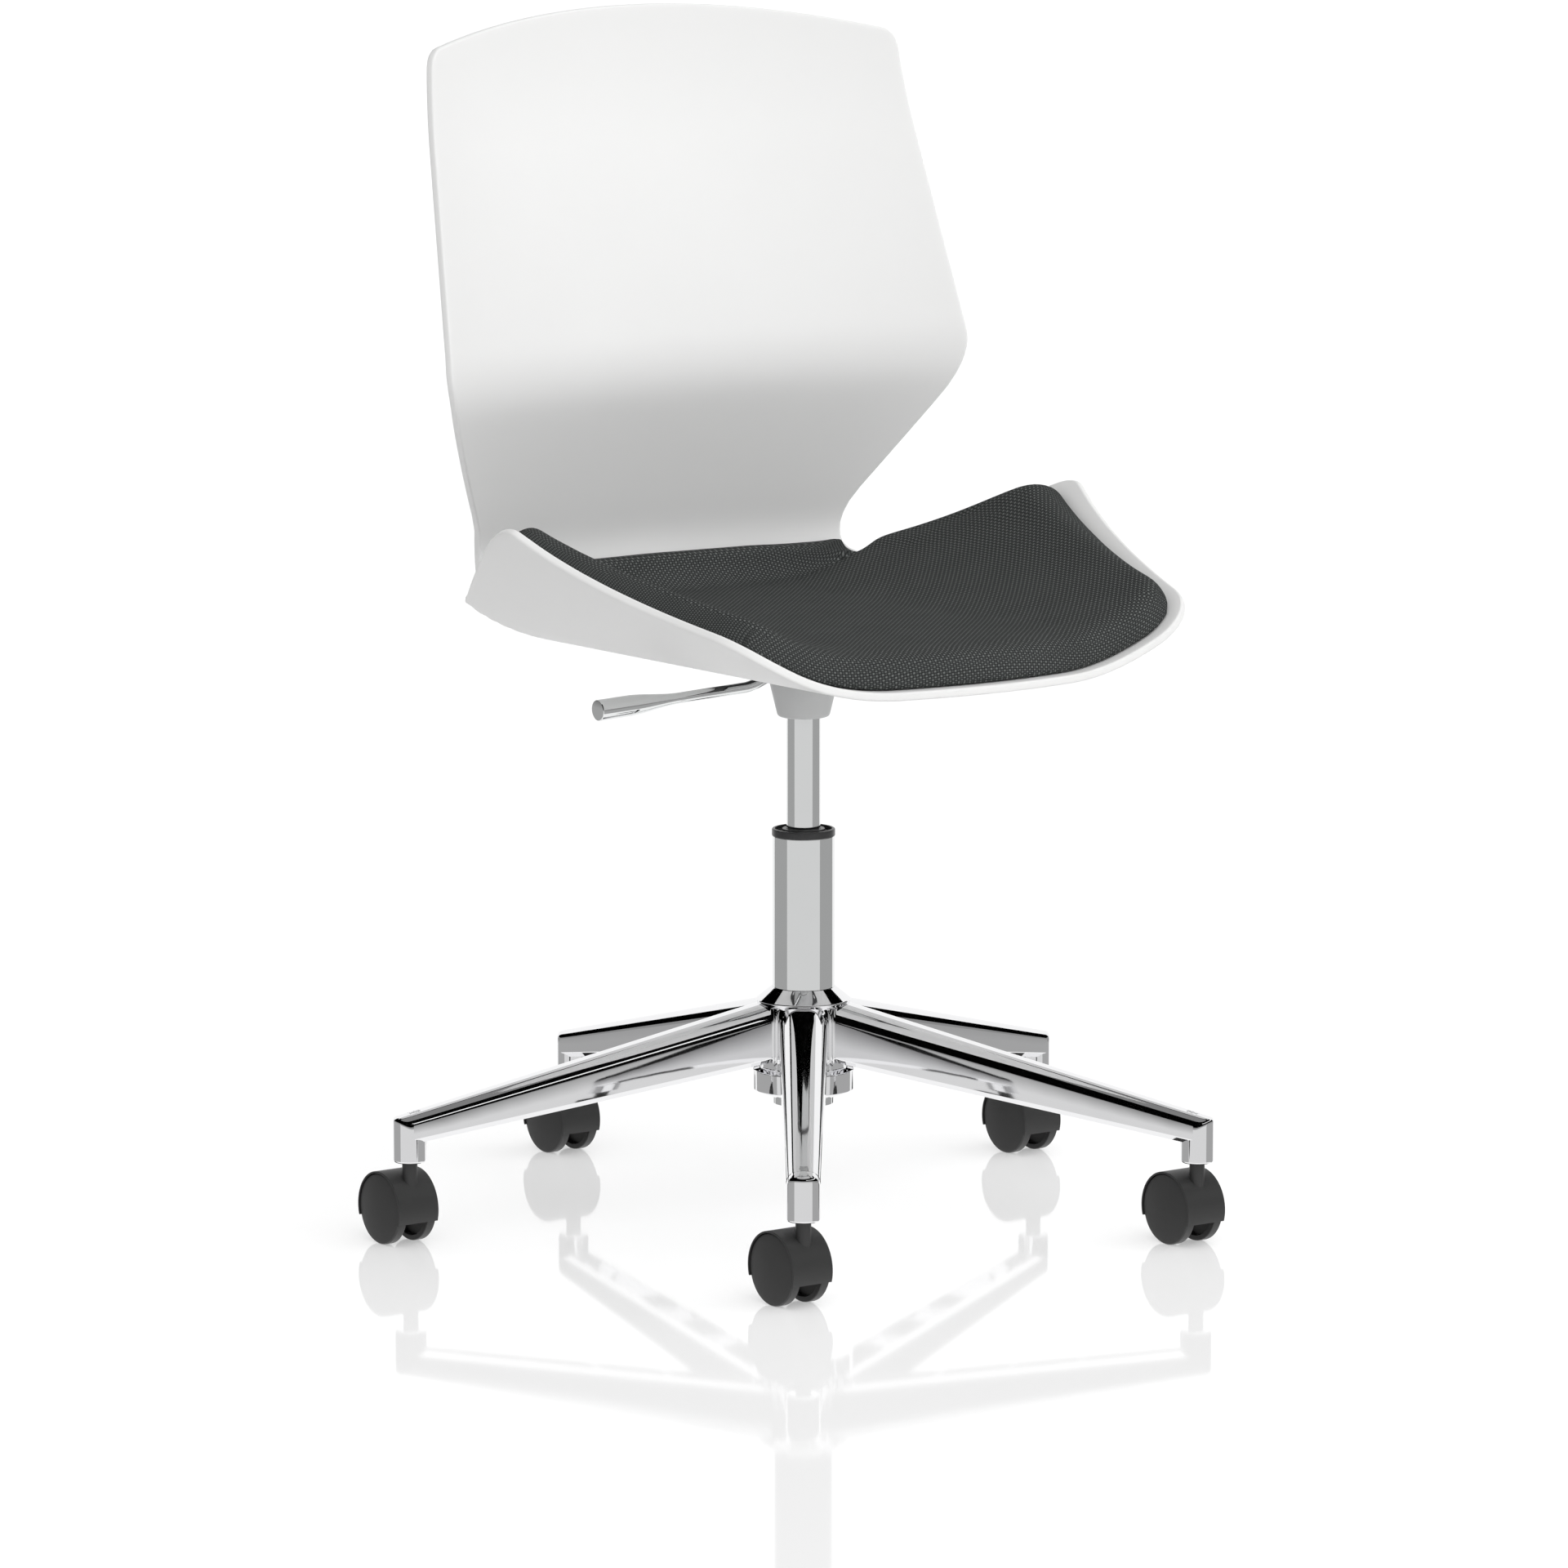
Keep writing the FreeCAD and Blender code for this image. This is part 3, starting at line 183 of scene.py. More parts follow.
def turn(bm, profile, centre=Vector(), axis=Vector((0, 0, 1)), steps=96):
    """Spin a profile of points (radius, height along the axis) a full turn."""
    aside = axis.orthogonal().normalized()
    verts, edges = chain(bm, [centre + aside * r + axis * h for r, h in profile])
    bmesh.ops.spin(bm, geom=verts + edges, cent=centre, axis=axis, dvec=(0, 0, 0), angle=2 * math.pi,
                   steps=steps, use_merge=True)


def make_piece(name, bm, material, slot, body, *nodes, sharp=32):
    """Close the mesh, mark its creases and hang it on its body in place of its CAD nodes."""
    bmesh.ops.remove_doubles(bm, verts=bm.verts, dist=1e-6)
    bmesh.ops.recalc_face_normals(bm, faces=bm.faces)
    for face in bm.faces:
        face.smooth = True
    for edge in bm.edges:
        edge.smooth = edge.calc_face_angle(0.0) < math.radians(sharp)
    mesh = bpy.data.meshes.new(name)
    bm.to_mesh(mesh)
    bm.free()
    mesh.materials.append(material)
    made = bpy.data.objects.new(name, mesh)
    bpy.context.scene.collection.objects.link(made)
    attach(made, body)
    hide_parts(*nodes)
    return made


def leg_sizes(r):
    """Sizes of the leg's section at a distance from the hub's axis."""
    share = (r - LEG_ROOT["at"]) / (LEG_TIP["at"] - LEG_ROOT["at"])
    return {key: LEG_ROOT[key] + share * (LEG_TIP[key] - LEG_ROOT[key]) for key in LEG_ROOT}


def leg_top(r, y):
    """Height of the leg's back: a flat strip, then a shoulder that curves down to the side."""
    size = leg_sizes(r)
    run = min(abs(y), size["half"]) - size["strip"]
    if run <= 0:
        return size["top"]
    reach = size["half"] - size["strip"]
    curve = (reach ** 2 + size["drop"] ** 2) / (2 * size["drop"])
    return size["top"] - curve + math.sqrt(curve ** 2 - run ** 2)


def leg_half(r, swell):
    """Half of the hollow leg's section, from the crown down the side and back up inside."""
    size = leg_sizes(r)
    half, strip = size["half"], size["strip"]
    steps = 9
    across = [strip + (half - strip) * math.sin(math.pi / 2 * k / steps) for k in range(steps + 1)]
    points = [(0, size["top"])] + [(y, leg_top(r, y)) for y in across]
    points += [(half, size["under"] + LEG_CHIN), (half - LEG_WALL, size["under"] + LEG_CHIN - LEG_WALL),
               (half - LEG_WALL, size["top"] - LEG_WALL - size["drop"]),
               (strip, size["top"] - LEG_WALL), (0, size["top"] - LEG_WALL)]
    middle = (size["top"] + size["under"]) / 2
    inner = len(points) - 3
    spread = [(y * (1 + swell / half), z + math.copysign(swell, z - middle)) for y, z in points[:inner]]
    return spread + points[inner:]


aluminium = polished_metal("polished_aluminium", (0.90, 0.90, 0.91), 0.035)
bm = bmesh.new()
turn(bm, rounded(HUB_PROFILE))
fillet_start = LEG_ROOT["at"] + HUB_CLEARANCE
stations = [LEG_START] + [fillet_start + LEG_FILLET * k / FILLET_STATIONS for k in range(FILLET_STATIONS + 1)]
stations += [LEG_STRAIGHT + (STEM_CIRCLE - LEG_STRAIGHT) * k / LEG_STATIONS for k in range(LEG_STATIONS + 1)]
leg = bmesh.new()
ring = []
for r in stations:
    gap = min(1.0, max(0.0, r - fillet_start) / LEG_FILLET)
    half = leg_half(r, LEG_FILLET * (1 - math.sqrt(1 - (1 - gap) ** 2)))
    loop = half[:-1] + [(-y, z) for y, z in reversed(half[1:])]
    places = [Vector((r, y, z)) for y, z in loop]
    if not ring:
        ring, edges = chain(leg, places, closed=True)
        continue
    grown = bmesh.ops.extrude_edge_only(leg, edges=edges)["geom"]
    edges = [item for item in grown if isinstance(item, bmesh.types.BMEdge)]
    ring = [item for item in grown if isinstance(item, bmesh.types.BMVert)]
    for vert, place in zip(ring, places):
        vert.co = place
for r in RIB_PLACES:
    size = leg_sizes(r)
    low = size["under"] + LEG_CHIN
    high = size["top"] - LEG_WALL
    rib = bmesh.ops.create_cube(leg, size=1.0)["verts"]
    bmesh.ops.scale(leg, vec=(RIB_THICKNESS, 2 * size["half"] - LEG_WALL, high - low), verts=rib)
    bmesh.ops.translate(leg, vec=(r, 0, (low + high) / 2), verts=rib)
    for vert in rib:
        if vert.co.z > (low + high) / 2:
            vert.co.y *= RIB_TOP_SHARE
post = bmesh.ops.create_circle(leg, cap_ends=True, segments=64, radius=POST_RADIUS - POST_EDGE)["verts"]
bmesh.ops.translate(leg, vec=(STEM_CIRCLE, 0, POST_FOOT), verts=post)
rim = [edge for edge in leg.edges if edge.verts[0] in post and edge.verts[1] in post]
axis_point = Vector((STEM_CIRCLE, 0, 0))
for scale, fall in ((1, None), *POST_RINGS):
    grown = bmesh.ops.extrude_edge_only(leg, edges=rim)["geom"]
    rim = [item for item in grown if isinstance(item, bmesh.types.BMEdge)]
    for vert in [item for item in grown if isinstance(item, bmesh.types.BMVert)]:
        outward = (vert.co - axis_point).xy.normalized() * POST_RADIUS * scale
        x, y = STEM_CIRCLE + outward.x, outward.y
        top = leg_top(min(x, STEM_CIRCLE + POST_REACH), y)
        vert.co = (x, y, POST_FOOT + POST_EDGE if fall is None else top - fall)
bmesh.ops.contextual_create(leg, geom=rim)
bmesh.ops.recalc_face_normals(leg, faces=leg.faces)
leg_mesh = bpy.data.meshes.new("leg_pattern")
leg.to_mesh(leg_mesh)
leg.free()
for number in range(LEG_COUNT):
    known = len(bm.verts)
    bm.from_mesh(leg_mesh)
    bm.verts.ensure_lookup_table()
    spread = math.radians(FIRST_LEG + 360 / LEG_COUNT * number)
    bmesh.ops.rotate(bm, cent=(0, 0, 0), matrix=Matrix.Rotation(spread, 3, "Z"), verts=bm.verts[known:])
bpy.data.meshes.remove(leg_mesh)
base = make_piece("polished_star_base", bm, aluminium, "polished_aluminium", "base", "star_base", sharp=28)
arris = base.modifiers.new("arris", "BEVEL")
arris.width = ARRIS
arris.segments = 2
arris.limit_method = "ANGLE"
arris.angle_limit = math.radians(40)


# Castors: a black nylon hood over two wheels on a steel axle, with a stem collar that turns in the
# leg's post. Hood and wheels are moulded with a fine spark texture that keeps a soft sheen.
WHEEL_RADIUS = 0.0290
STEM_TRAIL = 0.0175
HOOD_CORE = 0.0100
HOOD_HALF = 0.0191
HOOD_BORE = 0.0293
HOOD_RADIUS = 0.0309
HOOD_LIP = 0.0200
COLLAR_RADIUS = 0.0062
COLLAR_TOP = 0.0687
COLLAR_FOOT = 0.030
WHEEL_IN = 0.0103
WHEEL_OUT = 0.0188
WHEEL_DOME = 0.0026
WHEEL_EDGE = 0.0282
WHEEL_SHOULDER = 0.0006
WHEEL_RIM = 0.0245
WHEEL_HUB = 0.0090
WHEEL_WEB = 0.0148
DOME_STEPS = 12
AXLE_BORE = 0.004


def moulded_plastic(name, colour, gloss, grain):
    """Spark-textured moulding: fine grain in the bump, and a slow drift of tone and gloss."""
    material, start, place = new_material(name, IOR=1.5)
    fine = start.node("ShaderNodeTexNoise", None, {"Vector": place, "Scale": 2600.0, "Detail": 2.0})
    slow = start.node("ShaderNodeTexNoise", None, {"Vector": place, "Scale": 21.0, "Detail": 3.0})
    tone = slow.mix((*[0.9 * c for c in colour], 1), (*[1.08 * c for c in colour], 1))
    bump = start.node("ShaderNodeBump", None, {"Height": fine, "Strength": grain, "Distance": 0.0002})
    dress(material, Base_Color=tone, Roughness=(gloss - 0.04) + slow * 0.08, Normal=bump)
    return material


black_nylon = moulded_plastic("black_nylon", (0.036, 0.036, 0.036), 0.44, 0.25)
hood_profile = rounded([(HOOD_BORE, -HOOD_HALF, 0), (HOOD_RADIUS, -HOOD_HALF, 0.0006),
                        (HOOD_RADIUS, HOOD_HALF, 0.0006), (HOOD_BORE, HOOD_HALF, 0), (HOOD_BORE, HOOD_CORE, 0),
                        (AXLE_BORE, HOOD_CORE, 0), (AXLE_BORE, -HOOD_CORE, 0), (HOOD_BORE, -HOOD_CORE, 0),
                        (HOOD_BORE, -HOOD_HALF, 0)], steps=3)
dome = [(WHEEL_EDGE * k / DOME_STEPS,
         WHEEL_OUT - WHEEL_SHOULDER + WHEEL_DOME * math.cos(math.pi / 2 * k / DOME_STEPS) ** 0.8, 0)
        for k in range(DOME_STEPS)]
wheel_profile = rounded([(0.0002, dome[0][1], 0), *dome[1:], (WHEEL_EDGE, WHEEL_OUT - WHEEL_SHOULDER, 0.0004),
                         (WHEEL_RADIUS, WHEEL_OUT - 0.0016, 0.0008), (WHEEL_RADIUS, WHEEL_IN, 0.0008),
                         (WHEEL_RIM, WHEEL_IN, 0.0005), (WHEEL_RIM, WHEEL_WEB, 0.0005),
                         (WHEEL_HUB, WHEEL_WEB, 0.0005), (WHEEL_HUB, WHEEL_IN, 0.0004),
                         (0.0005, WHEEL_IN, 0)], steps=4)
for number in range(LEG_COUNT):
    angle = math.radians(FIRST_LEG + 360 / LEG_COUNT * number)
    stem = Vector((STEM_CIRCLE * math.cos(angle), STEM_CIRCLE * math.sin(angle), 0))
    axle = stem + Vector((0, STEM_TRAIL, WHEEL_RADIUS))
    castor = "castor_%d" % (number + 1)
    bm = bmesh.new()
    turn(bm, hood_profile, axle, Vector((1, 0, 0)))
    below = axle.copy()
    below.z = HOOD_LIP
    cut = bmesh.ops.bisect_plane(bm, geom=bm.verts[:] + bm.edges[:] + bm.faces[:], plane_co=below,
                                 plane_no=(0, 0, -1), clear_outer=True)["geom_cut"]
    bmesh.ops.holes_fill(bm, edges=[item for item in cut if isinstance(item, bmesh.types.BMEdge)])
    turn(bm, rounded([(0.0004, COLLAR_TOP, 0), (COLLAR_RADIUS, COLLAR_TOP, 0.0005),
                      (COLLAR_RADIUS, COLLAR_FOOT, 0)]), stem, steps=48)
    make_piece(castor + "_shroud", bm, black_nylon, "black_plastic", castor, castor + "_hood")
    for side, toward in (("right", -1), ("left", 1)):
        bm = bmesh.new()
        turn(bm, [(r, toward * out) for r, out in wheel_profile], axle, Vector((1, 0, 0)))
        wheel = "%s_wheel_%s" % (castor, side)
        make_piece("%s_disc_%s" % (castor, side), bm, black_nylon, "wheel_nylon", wheel, wheel)


# Column: a chromed steel tube pressed into the hub's cone. A black acetal guide bush closes its mouth,
# with a raised rim and a groove round the cylinder that slides in it.
TUBE_TOP = 0.320
TUBE_RADIUS = 0.0255
TUBE_BORE = 0.0235
CONE_TOP = 0.195
CONE_RADIUS = 0.0249
CONE_BORE = 0.0229
TUBE_FOOT = 0.098
TUBE_FLOOR = (0.103, 0.107)
ROD_HOLE = 0.0042
BUSH_TOP = 0.326
BUSH_FOOT = 0.250
BUSH_RADIUS = 0.0259
BUSH_BORE = 0.01404
GROOVE = (0.0174, 0.0234)
GROOVE_FLOOR = 0.323
chrome = polished_metal("bright_chrome", (0.84, 0.85, 0.85), 0.02)
bm = bmesh.new()
turn(bm, rounded([(CONE_BORE, TUBE_FOOT, 0), (CONE_RADIUS, TUBE_FOOT, 0.0005), (CONE_RADIUS, 0.106, 0),
                  (TUBE_RADIUS, CONE_TOP, 0), (TUBE_RADIUS, TUBE_TOP - 0.001, 0), (TUBE_RADIUS, TUBE_TOP, 0.0004),
                  (TUBE_BORE, TUBE_TOP, 0.0004), (TUBE_BORE, CONE_TOP, 0), (CONE_BORE, TUBE_FLOOR[1], 0),
                  (ROD_HOLE, TUBE_FLOOR[1], 0), (ROD_HOLE, TUBE_FLOOR[0], 0), (CONE_BORE, TUBE_FLOOR[0], 0),
                  (CONE_BORE, TUBE_FOOT, 0)], steps=3), steps=128)
make_piece("chromed_column", bm, chrome, "chrome", "base", "column_tube")
acetal = moulded_plastic("black_acetal", (0.030, 0.030, 0.031), 0.32, 0.12)
bm = bmesh.new()
turn(bm, rounded([(BUSH_BORE, BUSH_FOOT, 0), (TUBE_BORE, BUSH_FOOT, 0.0005), (TUBE_BORE, TUBE_TOP, 0),
                  (BUSH_RADIUS, TUBE_TOP, 0.0005), (BUSH_RADIUS, BUSH_TOP, 0.0012), (GROOVE[1], BUSH_TOP, 0.0004),
                  (GROOVE[1], GROOVE_FLOOR, 0.0006), (GROOVE[0], GROOVE_FLOOR, 0.0006),
                  (GROOVE[0], BUSH_TOP, 0.0006), (BUSH_BORE, BUSH_TOP, 0.0008), (BUSH_BORE, BUSH_FOOT, 0)],
                 steps=4), steps=128)
make_piece("guide_bush_rim", bm, acetal, "black_plastic", "base", "guide_bush")


# Gas cylinder: a thin ground steel tube in bright chrome. Its tapered head sits in the seat's socket,
# and the lower end rides up and down inside the column.
CYLINDER_RADIUS = 0.0140
CYLINDER_BORE = 0.0120
CYLINDER_FOOT = 0.213
CYLINDER_TOP = 0.452
HEAD_START = 0.426
HEAD_RADIUS = 0.0132
HEAD_FLOOR = 0.440
BUTTON_HOLE = 0.00254
bm = bmesh.new()
turn(bm, rounded([(CYLINDER_BORE, CYLINDER_FOOT, 0), (CYLINDER_RADIUS, CYLINDER_FOOT, 0.0005),
                  (CYLINDER_RADIUS, HEAD_START, 0), (HEAD_RADIUS, CYLINDER_TOP, 0.0006),
                  (BUTTON_HOLE, CYLINDER_TOP, 0), (BUTTON_HOLE, HEAD_FLOOR, 0), (CYLINDER_BORE, HEAD_FLOOR, 0),
                  (CYLINDER_BORE, CYLINDER_FOOT, 0)], steps=3))
make_piece("chromed_cylinder", bm, chrome, "chrome", "seat", "gas_cylinder")


# Mechanism cover: a pale grey moulded trumpet that hides the cone socket. It is slotted on the
# sitter's right for the lever and stops just under the steel seat plate.
COVER_WALL = 0.0020
COVER_SLOT = 0.0082
COVER_SLOT_FLOOR = 0.4495
COVER_PROFILE = [(0.0143, 0.4202, 0), (0.0195, 0.4202, 0.0015), (0.0256, 0.4455, 0.03), (0.0300, 0.4610, 0.0120),
                 (0.0700, 0.4625, 0)]
cover_plastic = moulded_plastic("pale_grey_plastic", (0.60, 0.605, 0.605), 0.42, 0.2)
bm = bmesh.new()
turn(bm, rounded(COVER_PROFILE, steps=8), steps=128)
for point, normal in (((0, COVER_SLOT, 0), (0, 1, 0)), ((0, -COVER_SLOT, 0), (0, 1, 0)),
                      ((0, 0, COVER_SLOT_FLOOR), (0, 0, 1)), ((0, 0, 0), (1, 0, 0))):
    bmesh.ops.bisect_plane(bm, geom=bm.verts[:] + bm.edges[:] + bm.faces[:], plane_co=point, plane_no=normal)
slot = [face for face in bm.faces if abs(face.calc_center_median().y) < COVER_SLOT
        and face.calc_center_median().x < 0 and face.calc_center_median().z > COVER_SLOT_FLOOR]
bmesh.ops.delete(bm, geom=slot, context="FACES")
cover = make_piece("trumpet_cover", bm, cover_plastic, "grey_plastic", "seat", "mechanism_cover")
wall = cover.modifiers.new("wall", "SOLIDIFY")
wall.thickness = COVER_WALL
wall.offset = -1


# Release lever: a turned and chromed steel bar that flares to a round grip. Past a bend under the seat
# it rises to a pivot, and a flat tongue reaches over the gas valve's button.
PIVOT = Vector((-0.028, 0, 0.4573))
LEVER_BEND = Vector((-0.052, 0, 0.4468))
LEVER_TIP = Vector((-0.204, 0, 0.4403))
GRIP_RADIUS = 0.0086
NECK_RADIUS = 0.0045
GRIP_LENGTH = 0.028
FLARE_LENGTH = 0.052
FLARE_STEPS = 12
BEND_STEPS = 6
BEND_REACH = 0.010
TONGUE = Vector((0.0306, 0.010, 0.004))
BOSS_RADIUS = 0.0042
handle = LEVER_TIP - LEVER_BEND
along = handle.normalized()
bm = bmesh.new()
grip = handle.length - GRIP_LENGTH
path = [(PIVOT, NECK_RADIUS), (PIVOT.lerp(LEVER_BEND, 0.55), NECK_RADIUS)]
first = PIVOT.lerp(LEVER_BEND, 0.6)
last = LEVER_BEND + along * BEND_REACH
for k in range(1, BEND_STEPS):
    share = k / BEND_STEPS
    path.append((first.lerp(LEVER_BEND, share).lerp(LEVER_BEND.lerp(last, share), share), NECK_RADIUS))
path.append((LEVER_BEND + along * (grip - FLARE_LENGTH), NECK_RADIUS))
for k in range(1, FLARE_STEPS + 1):
    share = k / FLARE_STEPS
    swell = share * share * (3 - 2 * share)
    path.append((LEVER_BEND + along * (grip - FLARE_LENGTH * (1 - share)),
                 NECK_RADIUS + swell * (GRIP_RADIUS - NECK_RADIUS)))
path += [(LEVER_TIP - along * 0.0008, GRIP_RADIUS), (LEVER_TIP - along * 0.0002, GRIP_RADIUS - 0.0004),
         (LEVER_TIP, GRIP_RADIUS - 0.0009)]
edges = []
for index, (centre, radius) in enumerate(path):
    ahead = path[min(index + 1, len(path) - 1)][0] - path[max(index - 1, 0)][0]
    facing = Vector((0, 0, 1)).rotation_difference(ahead).to_matrix().to_4x4()
    if not edges:
        ring = bmesh.ops.create_circle(bm, cap_ends=True, segments=48, radius=1.0)["verts"]
        edges = bm.edges[:]
        template = [vert.co.copy() for vert in ring]
    else:
        grown = bmesh.ops.extrude_edge_only(bm, edges=edges)["geom"]
        edges = [item for item in grown if isinstance(item, bmesh.types.BMEdge)]
        ring = [item for item in grown if isinstance(item, bmesh.types.BMVert)]
    for vert, place in zip(ring, template):
        vert.co = centre + facing @ (place * radius)
bmesh.ops.contextual_create(bm, geom=edges)
tongue = bmesh.ops.create_cube(bm, size=1.0)["verts"]
bmesh.ops.scale(bm, vec=TONGUE, verts=tongue)
bmesh.ops.translate(bm, vec=(PIVOT.x + TONGUE.x / 2, 0, PIVOT.z), verts=tongue)
boss = bmesh.ops.create_cone(bm, cap_ends=True, segments=32, radius1=BOSS_RADIUS, radius2=BOSS_RADIUS,
                             depth=TONGUE.y)["verts"]
bmesh.ops.rotate(bm, cent=(0, 0, 0), matrix=Matrix.Rotation(math.pi / 2, 3, "X"), verts=boss)
bmesh.ops.translate(bm, vec=PIVOT, verts=boss)
make_piece("lever_bar", bm, chrome, "chrome", "lever", "release_lever")


# Shell: seat and back moulded in one piece of white polypropylene with a soft satin gloss. The seat is a
# trough with raised wings, the back bends up behind it and hollows to the waist, and the rim is rounded.
SEAT_FACE = 0.474
SHELL_THICKNESS = 0.007
SHELL_EDGE = 0.0026
SEAT_REAR = 0.167
SEAT_FRONT = 0.258
START = -0.270
BEND = (0.060, math.radians(110.8))
PROFILE = [(SEAT_REAR - START, 0, 0), (0, *BEND), (0.112, 0, 0), (0, 0.095, math.radians(-34.8)), (0.167, 0, 0),
           (0, 0.433, math.radians(19.0))]
SEAT_FLAT = 0.084
WING_HALF = 0.276
WING_RISE = 0.110
SEAT_RADIUS = ((WING_HALF - SEAT_FLAT) ** 2 + WING_RISE ** 2) / (2 * WING_RISE)
BACK_RADIUS = 0.640
FRONT_SLOPE = 0.30
FRONT_ROUND = 0.560
FRONT_UP = -SEAT_FRONT / math.sqrt(2) - FRONT_ROUND * (math.hypot(1, FRONT_SLOPE) - 1)
FRONT_HALF = 0.217
TOP_HALF = 0.233
TOP_UP = 0.476
TOP_SLOPE = 0.41
TOP_ROUND = 0.555
RIGHT_SIDE = [(FRONT_HALF, FRONT_UP + FRONT_SLOPE * FRONT_HALF, 0.078), (0.285, 0.098, 0.026),
              (0.183, 0.172, 0.022), (0.183, 0.197, 0.016), (0.262, 0.233, 0.028), (TOP_HALF, TOP_UP, 0.020)]
OUTLINE = [(0, FRONT_UP, FRONT_ROUND), *RIGHT_SIDE, (0, TOP_UP + TOP_SLOPE * TOP_HALF, TOP_ROUND),
           *[(-x, up, radius) for x, up, radius in reversed(RIGHT_SIDE)]]
ARC_STEPS = 24
SHELL_COLUMNS = 96
SHELL_ROWS = 150


def along_profile(distance):
    """Place, heading and turn so far at a distance along the shell's centre line."""
    y, z, heading, bent = START, 0.0, 0.0, 0.0
    for run, radius, swing in PROFILE:
        span = run or radius * abs(swing)
        share = min(1.0, distance / span)
        if run:
            y += share * run * math.cos(heading)
            z += share * run * math.sin(heading)
        else:
            new = heading + share * swing
            sign = math.copysign(radius, swing)
            y += sign * (math.sin(new) - math.sin(heading))
            z -= sign * (math.cos(new) - math.cos(heading))
            heading = new
        bent = max(bent, heading)
        distance -= span
        if distance <= 0:
            break
    return y, z, bent


PROFILE_STEP = 0.0015
PROFILE_LENGTH = sum(run or radius * abs(swing) for run, radius, swing in PROFILE)
PROFILE_POINTS = [along_profile(k * PROFILE_STEP) for k in range(int(PROFILE_LENGTH / PROFILE_STEP) + 1)]
SEAT_END = int((SEAT_REAR - START) / PROFILE_STEP)


def over_profile(x, y, z, bent):
    """Point of the trough beside one point of the centre line."""
    share = bent / BEND[1]
    blend = share * share * (3 - 2 * share)
    radius = 1 / ((1 - blend) / SEAT_RADIUS + blend / BACK_RADIUS)
    run = max(0.0, min(abs(x), WING_HALF) - SEAT_FLAT * (1 - blend))
    level = math.sqrt(radius ** 2 - run ** 2)
    rise = radius - level + max(0.0, abs(x) - WING_HALF) * run / level
    lean = min(bent, math.pi / 2)
    return Vector((x, y - rise * math.sin(lean), z + rise * math.cos(lean)))


def shell_point(x, up):
    """Point of the shell's seat side at a half width and a distance up the 45 degree plane."""
    def distance_up(index):
        point = over_profile(x, *PROFILE_POINTS[index])
        return (point.y + point.z) / math.sqrt(2)

    low, high = (0, SEAT_END) if distance_up(SEAT_END) >= up else (SEAT_END, len(PROFILE_POINTS) - 1)
    while high - low > 1:
        middle = (low + high) // 2
        low, high = (middle, high) if distance_up(middle) < up else (low, middle)
    first, last = distance_up(low), distance_up(high)
    share = (up - first) / (last - first)
    mixed = [a + share * (b - a) for a, b in zip(PROFILE_POINTS[low], PROFILE_POINTS[high])]
    return over_profile(x, *mixed) + Vector((0, 0, SEAT_FACE))


def value_at(points, key):
    """Straight-line look-up in a sorted list of pairs."""
    place = min(max(1, bisect.bisect_left(points, (key,))), len(points) - 1)
    (x0, y0), (x1, y1) = points[place - 1], points[place]
    return y0 + (y1 - y0) * min(1.0, max(0.0, (key - x0) / (x1 - x0)))


class Patch:
    """A four-sided map onto an outline: across from side to side, up from its front edge to its rear edge."""

    def __init__(self, front, side, rear):
        self.front = sorted((x, up) for x, up in front if x >= 0)
        self.side = sorted((up, x) for x, up in side)
        self.rear = sorted((x, up) for x, up in rear if x >= 0)

    def place(self, across, share):
        low = value_at(self.front, abs(across) * self.front[-1][0])
        high = value_at(self.rear, abs(across) * self.rear[-1][0])
        up = low + share * (high - low)
        return across * value_at(self.side, up), up


def patch_of(points, corner_steps=2 * ARC_STEPS + 1):
    """Split a sampled outline at the middles of its front and top corners."""
    middle = corner_steps // 2
    front = points[middle:corner_steps + middle + 1]
    side = points[corner_steps + middle:6 * corner_steps + middle + 1]
    rear = points[6 * corner_steps + middle:7 * corner_steps + middle + 1]
    return Patch(front, side, rear)


def satin_white(name):
    """Satin polypropylene: shallow orange-peel bump and a faint mottling of tone and gloss."""
    material, start, place = new_material(name, IOR=1.48)
    peel = start.node("ShaderNodeTexNoise", None, {"Vector": place, "Scale": 420.0, "Detail": 2.0})
    slow = start.node("ShaderNodeTexNoise", None, {"Vector": place, "Scale": 6.0, "Detail": 3.0})
    tone = slow.mix((0.80, 0.80, 0.795, 1), (0.83, 0.83, 0.825, 1))
    bump = start.node("ShaderNodeBump", None, {"Height": peel, "Strength": 0.05, "Distance": 0.0003})
    dress(material, Base_Color=tone, Roughness=0.36 + slow * 0.08, Normal=bump)
    return material


shell_white = satin_white("satin_white_shell")
outline = [tuple(point) for point in rounded(OUTLINE, closed=True, steps=ARC_STEPS)]
shell_patch = patch_of(outline)
bm = bmesh.new()
bmesh.ops.create_grid(bm, x_segments=SHELL_COLUMNS, y_segments=SHELL_ROWS, size=1.0)
for vert in bm.verts:
    vert.co = shell_point(*shell_patch.place(vert.co.x, (vert.co.y + 1) / 2))
shell = make_piece("moulded_shell", bm, shell_white, "shell_white", "seat", "seat_shell", sharp=60)
if shell.data.polygons[0].normal.z < 0:
    shell.data.flip_normals()
thick = shell.modifiers.new("thickness", "SOLIDIFY")
thick.thickness = SHELL_THICKNESS
thick.offset = -1
soft_rim = shell.modifiers.new("rim", "BEVEL")
soft_rim.width = SHELL_EDGE
soft_rim.segments = 4
soft_rim.limit_method = "ANGLE"
soft_rim.angle_limit = math.radians(50)


